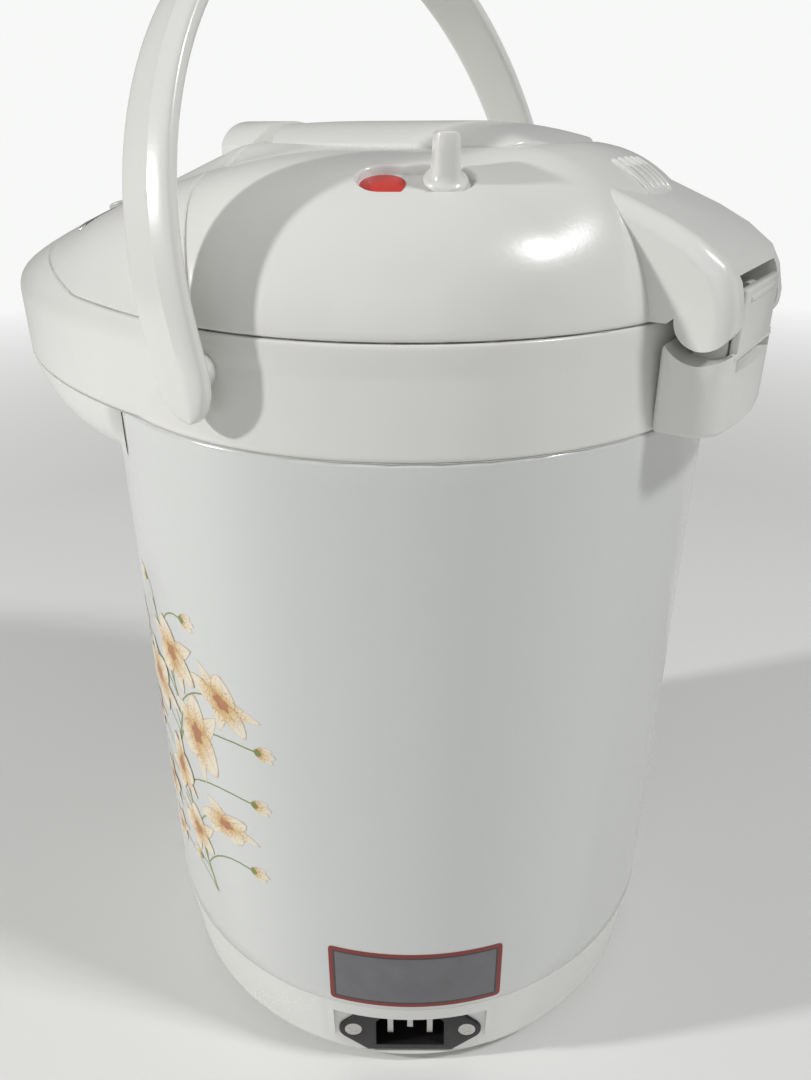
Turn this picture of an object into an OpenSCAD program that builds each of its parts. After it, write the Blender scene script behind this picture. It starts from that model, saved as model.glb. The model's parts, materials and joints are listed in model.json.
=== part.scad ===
// Electric thermo pot: an insulated water boiler with an air pump in its lid,
// an electric pump in its base and a carry handle.
// Origin at the centre of the underside, +Z up, the spout towards -Y, the lid hinge towards +Y.

/* [Case] */
// Outer radius of the painted case
case_r = 96; // [94:0.5:102]
// Height of the top edge of the case
case_top = 232; // [220:1:260]
// Thickness of the case sheet
case_t = 1; // [0.8:0.1:1.5]
// Height of the seam between the base ring and the case
base_seam = 35.5; // [34:0.5:42]
// Radius of the base ring where it turns under
base_foot_r = 93; // [90:0.5:94]
// Radius of the rounded lower edge of the base ring
base_round = 9; // [6:0.5:10]
// Wall of the moulded covers
shell_t = 2.4; // [2:0.1:2.8]

/* [Head] */
// Height of the upright wall of the head
wall_rise = 20; // [18:0.5:22]
// Inward draft of that wall
neck_draft = 3; // [2:0.25:4]
// Height of the seam below the lid, above the case
seam_rise = 27.5; // [26:0.5:29]
// Height of the dome above the case
crown_rise = 67; // [64:0.5:70]
// Reach of the spout beak from the axis
beak_reach = 165.6; // [158:0.2:172]
// Plan radius of the beak tip
beak_tip_r = 55; // [50:0.5:60]
// Fall of the dome towards the beak, per millimetre of reach
beak_fall = 0.18; // [0.14:0.01:0.22]
// Height of the ridge in front of the push plate
ridge_h = 7.5; // [6:0.25:8.5]
// Distance from the axis to the front edge of the lid
lid_front = 43; // [42:0.2:44]
// Plan radius of that edge
lid_edge_r = 128; // [120:1:140]
// Width of the shut lines
shut_gap = 0.4; // [0.3:0.05:0.6]

/* [Mouth] */
// Radius of the filling mouth
mouth_r = 45; // [40:0.5:46]
// Offset of the mouth towards the hinge
mouth_y = 10; // [8:0.5:12]
// Thickness of the deck around the mouth
deck_t = 2.5; // [2:0.1:3]
// Depth of the plug below the deck
plug_depth = 8.5; // [7:0.5:10]
// Radial clearance of the plug in the mouth
plug_gap = 1.2; // [1:0.1:2]

/* [Hinge] */
// Distance of the hinge line behind the neck of the head
hinge_back = 8.5; // [8:0.25:9.5]
// Height of the hinge line above the case
hinge_rise = 29.5; // [29:0.25:30.5]
// Half width of the hinge nose on the lid
nose_half = 27; // [25:0.5:29]
// Radius of the hinge pin
hinge_pin_r = 2; // [1.5:0.1:2.5]
// Radial running clearance of every pin
pin_fit = 0.05; // [0.03:0.01:0.08]

/* [Push plate] */
// Half width of the push plate
plate_half = 27.6; // [25:0.2:29]
// Height of the plate's crown above the case
plate_rise = 74; // [73:0.25:75]
// Radius of the crown across the plate
plate_crown_r = 59.5; // [54:0.5:70]
// Travel of the plate
plate_travel = 12; // [8:0.5:14]
// Clearance around the plate
plate_gap = 0.4; // [0.3:0.05:0.6]

/* [Handle] */
// From the case to the middle of the handle's strap
bow_space = 4.8; // [4.8:0.1:7]
// Straight length of each leg above the pivot
leg_rise = 11.2; // [10:0.2:14]
// Width of the strap
strap_w = 17.2; // [14:0.2:20]
// Thickness of the strap
strap_t = 5; // [4:0.1:5.2]
// Height of the handle pivots above the case
pivot_rise = 18; // [16:0.5:19]
// Lean of the standing handle towards the spout
handle_lean = 12.2; // [6:0.2:16]
// Radius of the handle pins
handle_pin_r = 3; // [2.5:0.1:3.5]

/* [Controls] */
// Distance of the panel's centre in front of the axis
panel_reach = 92; // [91:0.5:93]
// Radius of the dispense button
dispense_r = 11; // [8:0.5:11.5]
// Radius of the reboil button
reboil_r = 6; // [4:0.5:7]
// Height that a button stands above the panel
button_rise = 0.8; // [0.6:0.1:1.2]
// Half width of the lid latch
latch_half = 21; // [18:0.5:22]
// Mean radius of the lock slot about the pot's axis
lock_r = 65.5; // [64.5:0.25:66]
// Half width of the lock slot
lock_slot_half = 6; // [5:0.25:6.5]

/* [Water way] */
// Air space between the inner pot and the case
liner_space = 22; // [21.6:0.1:23]
// Wall of the inner pot
liner_t = 0.6; // [0.5:0.05:1]
// Height of the inner pot's bottom
liner_bottom = 58; // [56:0.5:62]
// Outer radius of the glass sight tube
tube_r = 4.2; // [3.8:0.1:4.4]
// Wall of the sight tube
tube_t = 1.2; // [0.8:0.1:1.5]
// Wall of the hoses
hose_t = 1.3; // [1:0.1:1.5]
// Distance of the pump's axis in front of the pot's axis
pump_reach = 38; // [36:0.5:40]
// Radius of the pump housing
pump_r = 17; // [15:0.5:18]
// From the tip of the beak back to the middle of the nozzle
nozzle_back = 25.6; // [25:0.1:27]

/* [Mains inlet] */
// Direction of the inlet, measured from +X towards +Y
inlet_angle = 33; // [20:1:50]
// Pitch of the inlet's screws
inlet_pitch = 40; // [40:0.1:40]
// Width of the inlet's flange
inlet_flange_w = 50; // [49:0.5:52]
// Height of the inlet's flange
inlet_flange_h = 22; // [21:0.5:23]
// Height of the inlet's centre
inlet_z = 17.5; // [17:0.5:19]
// How deep the inlet's face lies inside the foot of the base
inlet_sunk = 2.5; // [2:0.1:3]

/* [Hidden] */
$fn = 64;

// Small fits
seat_gap = 0.3;     // soft or curved pieces that rest against each other
eps = 0.5;          // overshoot of a cut past the face that it leaves
far = 400;          // a size beyond the whole pot

// Head form
wall_z = case_top + wall_rise;
seam_z = case_top + seam_rise;
crown = crown_rise - wall_rise;
neck_r = case_r - neck_draft;
tip_y = beak_reach - beak_tip_r;
flank_r = (neck_r * neck_r + tip_y * tip_y - beak_tip_r * beak_tip_r) / (2 * (neck_r - beak_tip_r));
join_dir = atan2(tip_y, flank_r - neck_r);
join_polar = atan2(flank_r * sin(join_dir), neck_r - flank_r + flank_r * cos(join_dir));
rear_power = 4.3;   // squareness of the dome's section at the sides and the rear
front_power = 3.6;  // and towards the beak
levels = 10;
rear_step = 7.5;
front_step = 4;
head_angles = concat([for (a = [0:rear_step:180 - rear_step]) a], [for (a = [180:front_step:359]) a]);

// Ridge along the middle of the dome
ridge_flat = 24;    // half width at full height
ridge_side = 46;    // half width at its foot
ridge_peak = 45;    // its highest place, in front of the axis
ridge_end = 112;    // where it has died out towards the beak
ridge_rear_h = 4.4;
ridge_rear_start = 20;
ridge_rear_end = 65;

// Seam between the collar and the pieces above it
seam_bend_a = -20;
seam_bend_b = -60;
seam_step = 1.5;
seam_slope = 0.22;
lid_centre_y = lid_edge_r - lid_front;

// Deck, plug and lid
deck_top = seam_z - 4;
gasket_t = 2;
flange_z = deck_top + gasket_t;
flange_t = 3;
flange_top = flange_z + flange_t;
flange_r = mouth_r + 6;
plug_r = mouth_r - plug_gap;
plug_z = deck_top - plug_depth;
plug_t = 2;
vent_reach = mouth_r - 11;
lid_post_x = 40;
lid_post_r = 4;

// Push plate and its well
plate_top = case_top + plate_rise;
plate_front = lid_front - 2.1;
plate_rear = 59.5;
plate_front_r = 48;
plate_rear_r = 60;
plate_t = 2.2;
skirt_z = plate_top - 22;
well_t = 2;
plate_core_r = 12;
roll_start = 22;
roll_r = 75;
front_roll_start = 15;
front_roll_r = 300;

// Bellows between the plug's floor and the plate
bellows_bottom = plug_z + plug_t;
bellows_top = plate_top - 14;
bellows_r = plate_half - plate_t - 0.8;
bellows_in = bellows_r - 4.6;
bellows_folds = 6;
bellows_t = 0.9;
spring_r = 15;
spring_wire = 0.9;
spring_turns = 7;
spring_steps = 8;

// Hinge
hinge_y = neck_r + hinge_back;
hinge_z = case_top + hinge_rise;
hinge_groove_r = 11;
joint_gap = 0.1;    // glued joints between mouldings of one body
nose_split = hinge_y - 17.5;
lug_in = 11;
lug_out = 17;
lug_r = 4.3;
cheek_in = 18.2;
knuckle_r = 7.3;
bracket_r = hinge_y + 8.5;
bracket_top = seam_z - 4.5;
release_t = 2.4;
release_y = hinge_y + 4.7;
release_half = 17.4;
release_foot_z = case_top + 19.5;
release_top_z = case_top + 35.5;
release_pin_r = 1.2;

// Handle
pivot_z = case_top + pivot_rise;
bow_r = case_r + bow_space;
boss_r = 8;
boss_end = bow_r - strap_t / 2 - seat_gap;
handle_disc_r = strap_w / 2 + 0.8;
pin_blind = 4;
handle_pin_in = boss_end - pin_blind;
handle_pin_out = bow_r + strap_t / 2 - 1.5;

// Control panel
panel_tilt = 15;
panel_z = head_z(0, -panel_reach);
panel_t = 1.3;
panel_rear = panel_reach - 16;
panel_front = panel_reach + 17;
panel_half = 66;
panel_corner = 5;
button_gap = 0.3;
button_travel = 1.2;
button_lip = 1;
board_depth = 18;
board_t = 1.6;
board_half = [40, 12];
board_post = [20, 8];
button_seat = 7.2;  // depth of a button's lip below the panel
switch_h = 1.4;
reboil_at = [36, 3];
lens_at = [for (i = [0:2]) [-28 - 8 * i, 2 - i]];
lens_r = 1.6;

// Latch
latch_rear = lid_front + 2.6;
pocket_rear = lid_front + 1.2;
latch_front = lid_front + 21;
latch_top = plate_top - 0.5;
latch_crown_r = 35;
latch_pivot = [-(lid_front + 5), plate_top - 11];
latch_floor = latch_pivot[1] - 3.5;
latch_bottom = latch_pivot[1] - 1.7;
latch_pin_r = 1.5;
latch_front_r = 40;
pocket_gap = 0.4;

// Lock
lock_from = 27.2;
lock_to = 41.3;
lock_floor = case_top + 56;
lock_floor_t = 2;
lock_wall = 1.6;
knob_angle = 40.5;
knob_r = lock_slot_half - 0.6;
knob_top = case_top + 71;
knob_tab = 3.15;

// Base
base_lift = 1.5;
lip_r = base_foot_r - base_round - 4;
cover_r = base_foot_r - base_round - 0.6;
ring_t = 2.2;
cover_z = base_lift + ring_t;
cover_t = 2.5;
cover_top = cover_z + cover_t;
foot_r = 8;
foot_pin_r = 3;
foot_reach = lip_r - foot_r - 6;
foot_at = concat([[0, 0]], [for (a = [45:90:315]) foot_reach * [cos(a), sin(a)]]);
post_r = 4.5;
post_reach = lip_r - foot_r - 18;
post_angles = [90, 210, 330];
spigot_rise = 5;
bracket_t = 3.7;
support_z = liner_bottom - seat_gap - bracket_t;

// Water way
liner_r = case_r - liner_space;
liner_corner = 10;
bracket_out = liner_r - 12;
bracket_in = liner_r - 28;
liner_top = case_top + 4;
liner_flange = liner_r + 4;
gauge_reach = liner_r + 10;
hose_in = tube_r + pin_fit;
hose_r = hose_in + hose_t;
hose_bend = 12;
pump_top = liner_bottom - 8;
pump_floor = pump_top - 16;
pump_mid = pump_floor + 8;
chamber_r = pump_r - 2;
stem_r = 5;
bore_r = tube_r - tube_t;
tube_low = pump_mid + hose_bend + 4;
tube_high = case_top - 18;
hose_turn_z = case_top + 10;
nozzle_reach = beak_reach - nozzle_back;
nozzle_r = 8;
nozzle_low = case_top - 11;
gauge_half = 4.5;
gauge_low = 70;
gauge_high = 190;

// Inlet
inlet_face = base_foot_r - inlet_sunk;
inlet_flange_t = 3;
inlet_step = 1;
inlet_margin = 1.2;
inlet_shoulder = 15;
inlet_body_w = 27;
inlet_body_h = 19.6;
inlet_body_d = 24;
socket_w = 24;
socket_h = 16.4;
socket_d = 16;
socket_chamfer = 4;
pad_half = inlet_flange_w / 2 + 1.5;
pad_depth = 10;
pad_wall = 2;

// ---- Head form: plan outline, section and loft ----

function smooth(t) = let (s = min(max(t, 0), 1)) s * s * (3 - 2 * s);

// Plan radius of the beak at a direction given by its cosine and its forward sine
function beak_r(c, s) = atan2(s, c) < join_polar
    ? (neck_r - flank_r) * c + sqrt(flank_r * flank_r - pow((neck_r - flank_r) * s, 2))
    : tip_y * s + sqrt(beak_tip_r * beak_tip_r - pow(tip_y * c, 2));

// Plan radius of the head's wall at angle a, measured from +X towards +Y, and height z
function wall_at(z) = case_r - neck_draft * min(max((z - case_top) / wall_rise, 0), 1);
function head_r(a, z) = sin(a) >= 0 ? wall_at(z) : max(wall_at(z), beak_r(abs(cos(a)), -sin(a)));

function power_at(a) = rear_power - (rear_power - front_power) * max(-sin(a), 0);
function fall_at(a) = beak_fall * pow(max(-sin(a), 0), 2);

function ridge(x, y) = smooth((ridge_side - abs(x)) / (ridge_side - ridge_flat)) * (y < 0
    ? ridge_h * (-y < ridge_peak ? smooth(-y / ridge_peak)
        : max(1 - (-y - ridge_peak) / (ridge_end - ridge_peak), 0))
    : ridge_rear_h * smooth((y - ridge_rear_start) / (ridge_rear_end - ridge_rear_start)));

// Height of the dome over the point x, y
function head_z(x, y) = let (r = norm([x, y]), a = atan2(y, x), rim = head_r(a, wall_z),
    up = sqrt(max(1 - pow(r / rim, power_at(a)), 0)))
    wall_z + (crown - fall_at(a) * r + ridge(x, y)) * up;

// One ring of the loft, at level j of the dome and inset from the outer face
function dome_ring(j, inset) = [for (a = head_angles)
    let (rim = head_r(a, wall_z) - inset, r = rim * pow(cos(90 * j / levels), 2 / power_at(a)),
        x = r * cos(a), y = r * sin(a))
    [x, y, wall_z + (crown - inset - fall_at(a) * r + ridge(x, y)) * sin(90 * j / levels)]];

function wall_ring(z, inset) = [for (a = head_angles)
    let (r = head_r(a, max(z, case_top)) - inset) [r * cos(a), r * sin(a), z]];

// Closed skin over rings of n points that run anticlockwise from the lowest, with a top point
function loft_faces(rings, n, apex) = concat(
    [[for (i = [0:n - 1]) i]],
    [for (k = [0:rings - 2], i = [0:n - 1]) [k * n + i, (k + 1) * n + i, (k + 1) * n + (i + 1) % n]],
    [for (k = [0:rings - 2], i = [0:n - 1]) [k * n + i, (k + 1) * n + (i + 1) % n, k * n + (i + 1) % n]],
    [for (i = [0:n - 1]) [(rings - 1) * n + i, apex, (rings - 1) * n + (i + 1) % n]]);

// The head as one closed form; an inset form runs down past the case's top edge
module head_form(inset = 0, drop = 0) {
    n = len(head_angles);
    rings = concat([wall_ring(case_top - drop, inset)],
        drop > 0 ? [wall_ring(case_top, inset)] : [],
        [for (j = [0:levels - 1]) dome_ring(j, inset)]);
    points = concat([for (ring = rings) each ring], [[0, 0, wall_z + crown - inset]]);
    polyhedron(points, loft_faces(len(rings), n, len(points) - 1), convexity = 6);
}

// Everything above the seam, raised by lift
module above_seam(lift = 0) {
    z0 = seam_z + lift;
    rotate([90, 0, 90])
        linear_extrude(far, center = true)
            polygon([[far, z0], [seam_bend_a, z0], [seam_bend_b, z0 + seam_step],
                [-far, z0 + seam_step + seam_slope * (far + seam_bend_b)], [-far, far + z0], [far, far + z0]]);
}

module lid_area(grow = 0) {
    translate([0, lid_centre_y, case_top])
        cylinder(h = far, r = lid_edge_r + grow, $fn = 180);
}

// ---- General shapes ----

module tube(r_out, r_in, z_low, z_high) {
    translate([0, 0, z_low])
        difference() {
            cylinder(h = z_high - z_low, r = r_out);
            translate([0, 0, -eps])
                cylinder(h = z_high - z_low + 2 * eps, r = r_in);
        }
}

module disc(r, z_low, z_high) {
    translate([0, 0, z_low])
        cylinder(h = z_high - z_low, r = r);
}

// A bar of round section along X
module rod_x(r, x_low, x_high, y, z) {
    translate([x_low, y, z])
        rotate([0, 90, 0])
            cylinder(h = x_high - x_low, r = r);
}

module block(x, y, z) {
    translate([x[0], y[0], z[0]])
        cube([x[1] - x[0], y[1] - y[0], z[1] - z[0]]);
}

// Sideways profile of Y and Z points, spread over a half width
module side_profile(points, half) {
    rotate([90, 0, 90])
        linear_extrude(2 * half, center = true)
            polygon(points);
}

// Local frame of the panel: its own Z stands on the panel
module on_panel(at = [0, 0]) {
    translate([0, -panel_reach, panel_z])
        rotate([panel_tilt, 0, 0])
            translate([at[0], at[1], 0])
                children();
}

function panel_drop(at) = head_z(at[0], -panel_reach + at[1] * cos(panel_tilt)) - panel_z
    - at[1] * sin(panel_tilt);

function arc_points(cx, cy, r, from, to, steps) =
    [for (i = [0:steps]) let (a = from + (to - from) * i / steps) [cx + r * cos(a), cy + r * sin(a)]];

// ---- Base ----

module on_inlet() {
    rotate(inlet_angle)
        translate([inlet_face, 0, inlet_z])
            children();
}

// Outline of the inlet's flange: a straight middle and an ear for each screw
module inlet_outline(grow = 0) {
    ear_r = (inlet_flange_w - inlet_pitch) / 2;
    high = inlet_flange_h / 2;
    back = inlet_shoulder - inlet_pitch / 2;
    a = atan2(high, back) - acos(ear_r / norm([back, high]));
    polygon(concat(arc_points(inlet_pitch / 2, 0, ear_r + grow, -a, a, 8),
        [[inlet_shoulder + grow, high + grow], [-inlet_shoulder - grow, high + grow]],
        arc_points(-inlet_pitch / 2, 0, ear_r + grow, 180 - a, 180 + a, 8),
        [[-inlet_shoulder - grow, -high - grow], [inlet_shoulder + grow, -high - grow]]));
}

module base_ring() {
    arc_x = base_foot_r - base_round;
    arc_z = base_lift + base_round;
    spigot_r = case_r - case_t - seat_gap;
    outer = arc_points(arc_x, arc_z, base_round, -90, 0, 8);
    inner = arc_points(arc_x, arc_z, base_round - ring_t, 0, -90, 8);
    color("whitesmoke")
        difference() {
            union() {
                rotate_extrude($fn = 120)
                    polygon(concat([[lip_r, base_lift]], outer,
                        [[case_r, base_seam], [spigot_r, base_seam], [spigot_r, base_seam + spigot_rise],
                            [spigot_r - ring_t, base_seam + spigot_rise], [spigot_r - ring_t, base_seam - 2]],
                        inner, [[lip_r, cover_z]]));
                intersection() {
                    rotate(inlet_angle)
                        block([inlet_face - inlet_flange_t - pad_depth, far],
                            [-pad_half - pad_wall, pad_half + pad_wall], [cover_top + seat_gap, inlet_z + inlet_flange_h / 2 + inlet_margin + pad_wall]);
                    rotate_extrude($fn = 120)
                        polygon(concat([[0, base_lift]], outer, [[case_r, base_seam], [0, base_seam]]));
                }
            }
            on_inlet() {
                block([-far / 8, eps], [-inlet_body_w / 2 - seat_gap, inlet_body_w / 2 + seat_gap],
                    [-inlet_body_h / 2 - seat_gap, inlet_body_h / 2 + seat_gap]);
                for (s = [-1, 1])
                    rod_x(1.5 + pin_fit, -inlet_flange_t - 8, 0, s * inlet_pitch / 2, 0);
                block([-inlet_step, far / 8], [-pad_half, pad_half],
                    [-inlet_flange_h / 2 - inlet_margin, inlet_flange_h / 2 + inlet_margin]);
                translate([-inlet_flange_t, 0, 0])
                    rotate([90, 0, 90])
                        linear_extrude(far / 8)
                            inlet_outline(pin_fit);
            }
        }
}

module base_cover() {
    color("gainsboro")
        difference() {
            union() {
                disc(cover_r, cover_z, cover_top);
                for (a = post_angles)
                    rotate(a)
                        translate([post_reach, 0, 0])
                            disc(post_r, cover_z, support_z);
            }
            for (a = post_angles)
                rotate(a)
                    translate([post_reach, 0, 0])
                        disc(1.5 + pin_fit, cover_z - eps, cover_z + 13);
            for (at = foot_at)
                translate([at[0], at[1], 0])
                    disc(foot_pin_r + pin_fit, cover_z - eps, cover_top + eps);
            for (a = [0:30:150])
                rotate(a)
                    block([-33, -14], [-1.5, 1.5], [cover_z - eps, cover_top + eps]);
        }
}

module base_screws() {
    color("silver")
        for (a = post_angles)
            rotate(a)
                translate([post_reach, 0, 0]) {
                    disc(3.2, cover_z - 1.8, cover_z);
                    disc(1.5, cover_z - 1, cover_z + 12);
                }
}

module rubber_feet() {
    color("dimgray")
        for (at = foot_at)
            translate([at[0], at[1], 0]) {
                cylinder(h = cover_z, r1 = foot_r - 1, r2 = foot_r);
                disc(foot_pin_r, cover_z - 1, cover_top);
            }
}

// Round-cornered socket outline in the inlet's face
module socket_outline() {
    w = socket_w / 2;
    h = socket_h / 2;
    polygon([[-w, -h], [w, -h], [w, h - socket_chamfer], [w - socket_chamfer, h],
        [-w + socket_chamfer, h], [-w, h - socket_chamfer]]);
}

module mains_inlet() {
    color("#1c1c1c")
        on_inlet()
            difference() {
                union() {
                    translate([-inlet_flange_t, 0, 0])
                        rotate([90, 0, 90])
                            linear_extrude(inlet_flange_t)
                                inlet_outline();
                    block([-inlet_body_d, 0], [-inlet_body_w / 2, inlet_body_w / 2],
                        [-inlet_body_h / 2, inlet_body_h / 2]);
                }
                translate([-socket_d, 0, 0])
                    rotate([90, 0, 90])
                        linear_extrude(socket_d + eps)
                            socket_outline();
                for (y = [-7, 0, 7])
                    block([-inlet_body_d - eps, -socket_d + eps], [y - 1.05, y + 1.05],
                        [y == 0 ? -2.05 : -5.05, y == 0 ? 6.05 : 3.05]);
                for (s = [-1, 1]) {
                    rod_x(1.5 + pin_fit, -inlet_flange_t - eps, eps, s * inlet_pitch / 2, 0);
                    rod_x(3.2, -1.4, eps, s * inlet_pitch / 2, 0);
                }
            }
}

module inlet_pins() {
    color("silver")
        on_inlet()
            for (y = [-7, 0, 7])
                block([-inlet_body_d - 5, -2.5], [y - 1, y + 1], [y == 0 ? -2 : -5, y == 0 ? 6 : 3]);
}

module inlet_screws() {
    color("silver")
        on_inlet()
            for (s = [-1, 1]) {
                rod_x(1.5, -inlet_flange_t - 7, -0.4, s * inlet_pitch / 2, 0);
                rod_x(3, -1.4, -0.1, s * inlet_pitch / 2, 0);
            }
}

// ---- Case, inner pot and heating ----

module outer_case() {
    rim = 4;
    color("white")
        difference() {
            rotate_extrude($fn = 120)
                polygon([[case_r - case_t, base_seam], [case_r, base_seam], [case_r, case_top],
                    [case_r - case_t - rim, case_top], [case_r - case_t - rim, case_top - case_t],
                    [case_r - case_t, case_top - case_t]]);
            block([-gauge_half, gauge_half], [-case_r - 4, -case_r + 8], [gauge_low, gauge_high]);
        }
}

module gauge_window() {
    inner = case_r - case_t - seat_gap;
    color("lightcyan")
        intersection() {
            tube(case_r + 0.5, inner - 1.4, gauge_low - 4, gauge_high + 4, $fn = 360);
            union() {
                difference() {
                    block([-gauge_half - 3, gauge_half + 3], [-case_r, 0], [gauge_low - 4, gauge_high + 4]);
                    tube(case_r + 2, inner, 0, far, $fn = 360);
                }
                block([-gauge_half + seat_gap, gauge_half - seat_gap], [-case_r - 2, 0],
                    [gauge_low + seat_gap, gauge_high - seat_gap]);
            }
        }
}

module inner_pot() {
    c = liner_corner;
    outer = arc_points(liner_r - c, liner_bottom + c, c, -90, 0, 8);
    inner = arc_points(liner_r - c, liner_bottom + c, c - liner_t, 0, -90, 8);
    color("lightgray")
        difference() {
            rotate_extrude($fn = 120)
                polygon(concat([[0, liner_bottom]], outer,
                    [[liner_r, liner_top - 0.8], [liner_flange, liner_top - 0.8], [liner_flange, liner_top],
                        [liner_r - liner_t, liner_top]], inner, [[0, liner_bottom + liner_t]]));
            translate([0, -pump_reach, 0])
                disc(bore_r, liner_bottom - eps, liner_bottom + liner_t + eps);
        }
}

module liner_gasket() {
    color("white")
        tube(liner_flange - 0.5, liner_r - liner_t, liner_top, liner_top + 2.5);
}

module liner_bracket() {
    color("silver")
        difference() {
            tube(bracket_out, bracket_in, support_z, support_z + bracket_t);
            for (a = [0:60:300])
                rotate(a + 30)
                    translate([post_reach, 0, 0])
                        disc(3, support_z - eps, support_z + bracket_t + eps);
        }
}

module heater_band() {
    low = liner_bottom + liner_corner - 3;
    color("darkgray") {
        tube(liner_r + 2.4, liner_r + seat_gap, low, low + 32);
        for (s = [-1, 1])
            rotate(90 + 12 * s)
                block([liner_r + 2, liner_r + 9], [-2, 2], [low + 4, low + 12]);
    }
}

module thermostats() {
    color("black")
        for (s = [-1, 1])
            translate([20 * s, 12, 0]) {
                disc(8, liner_bottom - 4.3, liner_bottom - seat_gap);
                disc(5, liner_bottom - 8, liner_bottom - 4);
            }
}

// ---- Pump and water way ----

module on_pump() {
    translate([0, -pump_reach, 0])
        children();
}

module pump_motor() {
    color("slategray")
        on_pump() {
            disc(pump_r - 3, cover_top + seat_gap, pump_floor);
            tube(pump_r - 2, pump_r - 3.5, cover_top + 6, pump_floor - 6);
        }
}

module pump_housing() {
    color("ghostwhite")
        on_pump()
            difference() {
                union() {
                    disc(pump_r, pump_floor, pump_top);
                    disc(stem_r, pump_top - 1, liner_bottom - seat_gap);
                    translate([0, 0, pump_mid])
                        rotate([90, 0, 0])
                            cylinder(h = pump_r + 9, r = tube_r);
                }
                tube(chamber_r, 1.5, pump_floor + 2, pump_top - 3);
                disc(chamber_r, pump_top - 4, pump_top - 3);
                disc(bore_r, pump_top - 4, liner_bottom);
                translate([0, -chamber_r + 3, pump_mid])
                    rotate([90, 0, 0])
                        cylinder(h = far / 10, r = bore_r);
            }
}

module pump_impeller() {
    low = pump_floor + 2 + seat_gap;
    color("white")
        on_pump()
            difference() {
                union() {
                    disc(4, low, pump_top - 5);
                    disc(chamber_r - 0.8, low, low + 1.2);
                    for (a = [0:60:300])
                        rotate(a)
                            block([3, chamber_r - 0.8], [-0.6, 0.6], [low, pump_top - 5]);
                }
                disc(1.5 + pin_fit, low - eps, pump_top);
            }
}

// A hose that runs up, along -Y and, if asked, down again
module bend_up(y, z, r) {
    translate([0, y, z])
        rotate([90, 0, 90])
            rotate_extrude(angle = 90)
                translate([hose_bend, 0])
                    circle(r);
}

module lower_run(r, ends) {
    corner_y = -gauge_reach + hose_bend;
    translate([0, -pump_reach - pump_r - 1 + ends, pump_mid])
        rotate([90, 0, 0])
            cylinder(h = gauge_reach - pump_reach - pump_r - 1 - hose_bend + ends, r = r);
    translate([0, corner_y, pump_mid + hose_bend])
        rotate([0, 90, 0])
            rotate([0, 0, -90])
                rotate_extrude(angle = 90)
                    translate([hose_bend, 0])
                        circle(r);
    translate([0, -gauge_reach, 0])
        disc(r, pump_mid + hose_bend, tube_low + 12 + ends);
}

module lower_hose() {
    color("linen")
        difference() {
            lower_run(hose_r, 0);
            lower_run(hose_in, eps);
        }
}

module sight_tube() {
    color("azure")
        translate([0, -gauge_reach, 0])
            tube(tube_r, bore_r, tube_low, tube_high);
}

module upper_run(r, ends) {
    y0 = -gauge_reach;
    z0 = hose_turn_z;
    y1 = -nozzle_reach + hose_bend;
    translate([0, y0, 0])
        disc(r, tube_high - 12 - ends, z0);
    translate([0, y0 - hose_bend, z0])
        rotate([0, -90, 0])
            rotate_extrude(angle = 90)
                translate([hose_bend, 0])
                    circle(r);
    translate([0, y0 - hose_bend, z0 + hose_bend])
        rotate([90, 0, 0])
            cylinder(h = y0 - hose_bend - y1, r = r);
    translate([0, y1, z0])
        rotate([0, -90, 0])
            rotate([0, 0, -90])
                rotate_extrude(angle = 90)
                    translate([hose_bend, 0])
                        circle(r);
    translate([0, -nozzle_reach, 0])
        disc(r, case_top + 2.5 - ends, z0);
}

module upper_hose() {
    color("linen")
        difference() {
            upper_run(hose_r, 0);
            upper_run(hose_in, eps);
        }
}

module nozzle() {
    color("whitesmoke")
        translate([0, -nozzle_reach, 0])
            difference() {
                union() {
                    disc(nozzle_r, nozzle_low, case_top + 1);
                    disc(nozzle_r + 2, case_top + 0.5, case_top + 2);
                    disc(tube_r, case_top + 1, hose_turn_z - 1);
                }
                disc(bore_r, nozzle_low - eps, hose_turn_z);
                disc(nozzle_r - 2, nozzle_low - eps, nozzle_low + 7);
            }
}

// ---- Head ----

module hinge_lugs() {
    for (s = [-1, 1])
        mirror([s < 0 ? 1 : 0, 0, 0]) {
            block([lug_in, lug_out], [hinge_y - lug_r, hinge_y + lug_r], [bracket_top - 6, hinge_z]);
            rod_x(lug_r, lug_in, lug_out, hinge_y, hinge_z);
        }
}

// Room for the lid's knuckles round the hinge pin
module hinge_room() {
    difference() {
        rod_x(hinge_groove_r, -nose_half - 0.5, nose_half + 0.5, hinge_y, hinge_z);
        for (s = [-1, 1])
            mirror([s < 0 ? 1 : 0, 0, 0])
                block([lug_in, lug_out], [hinge_y - lug_r, hinge_y + lug_r],
                    [bracket_top - 7, hinge_z + lug_r]);
    }
}

module hinge_bracket() {
    color("whitesmoke")
        difference() {
            union() {
                intersection() {
                    tube(bracket_r, wall_at(case_top) - 2, case_top, bracket_top);
                    block([-nose_half, nose_half], [0, far], [case_top, bracket_top]);
                }
                hinge_lugs();
            }
            head_form(-joint_gap, joint_gap);
            hinge_room();
            rod_x(hinge_pin_r + pin_fit, -nose_half, nose_half, hinge_y, hinge_z);
            block([-nose_half + shell_t, nose_half - shell_t], [case_r + 1, bracket_r - shell_t],
                [case_top - eps, case_top + 14]);
            block([-release_half - 0.4, release_half + 0.4], [release_y - 0.1, far], [release_foot_z - 2, far]);
            rod_x(release_pin_r + pin_fit, -release_half - 2.2, release_half + 2.2,
                release_y + release_t / 2, release_foot_z);
        }
}

module handle_bosses() {
    for (s = [-1, 1])
        mirror([s < 0 ? 1 : 0, 0, 0])
            rod_x(boss_r, neck_r - 3, boss_end, 0, pivot_z);
}

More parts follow.
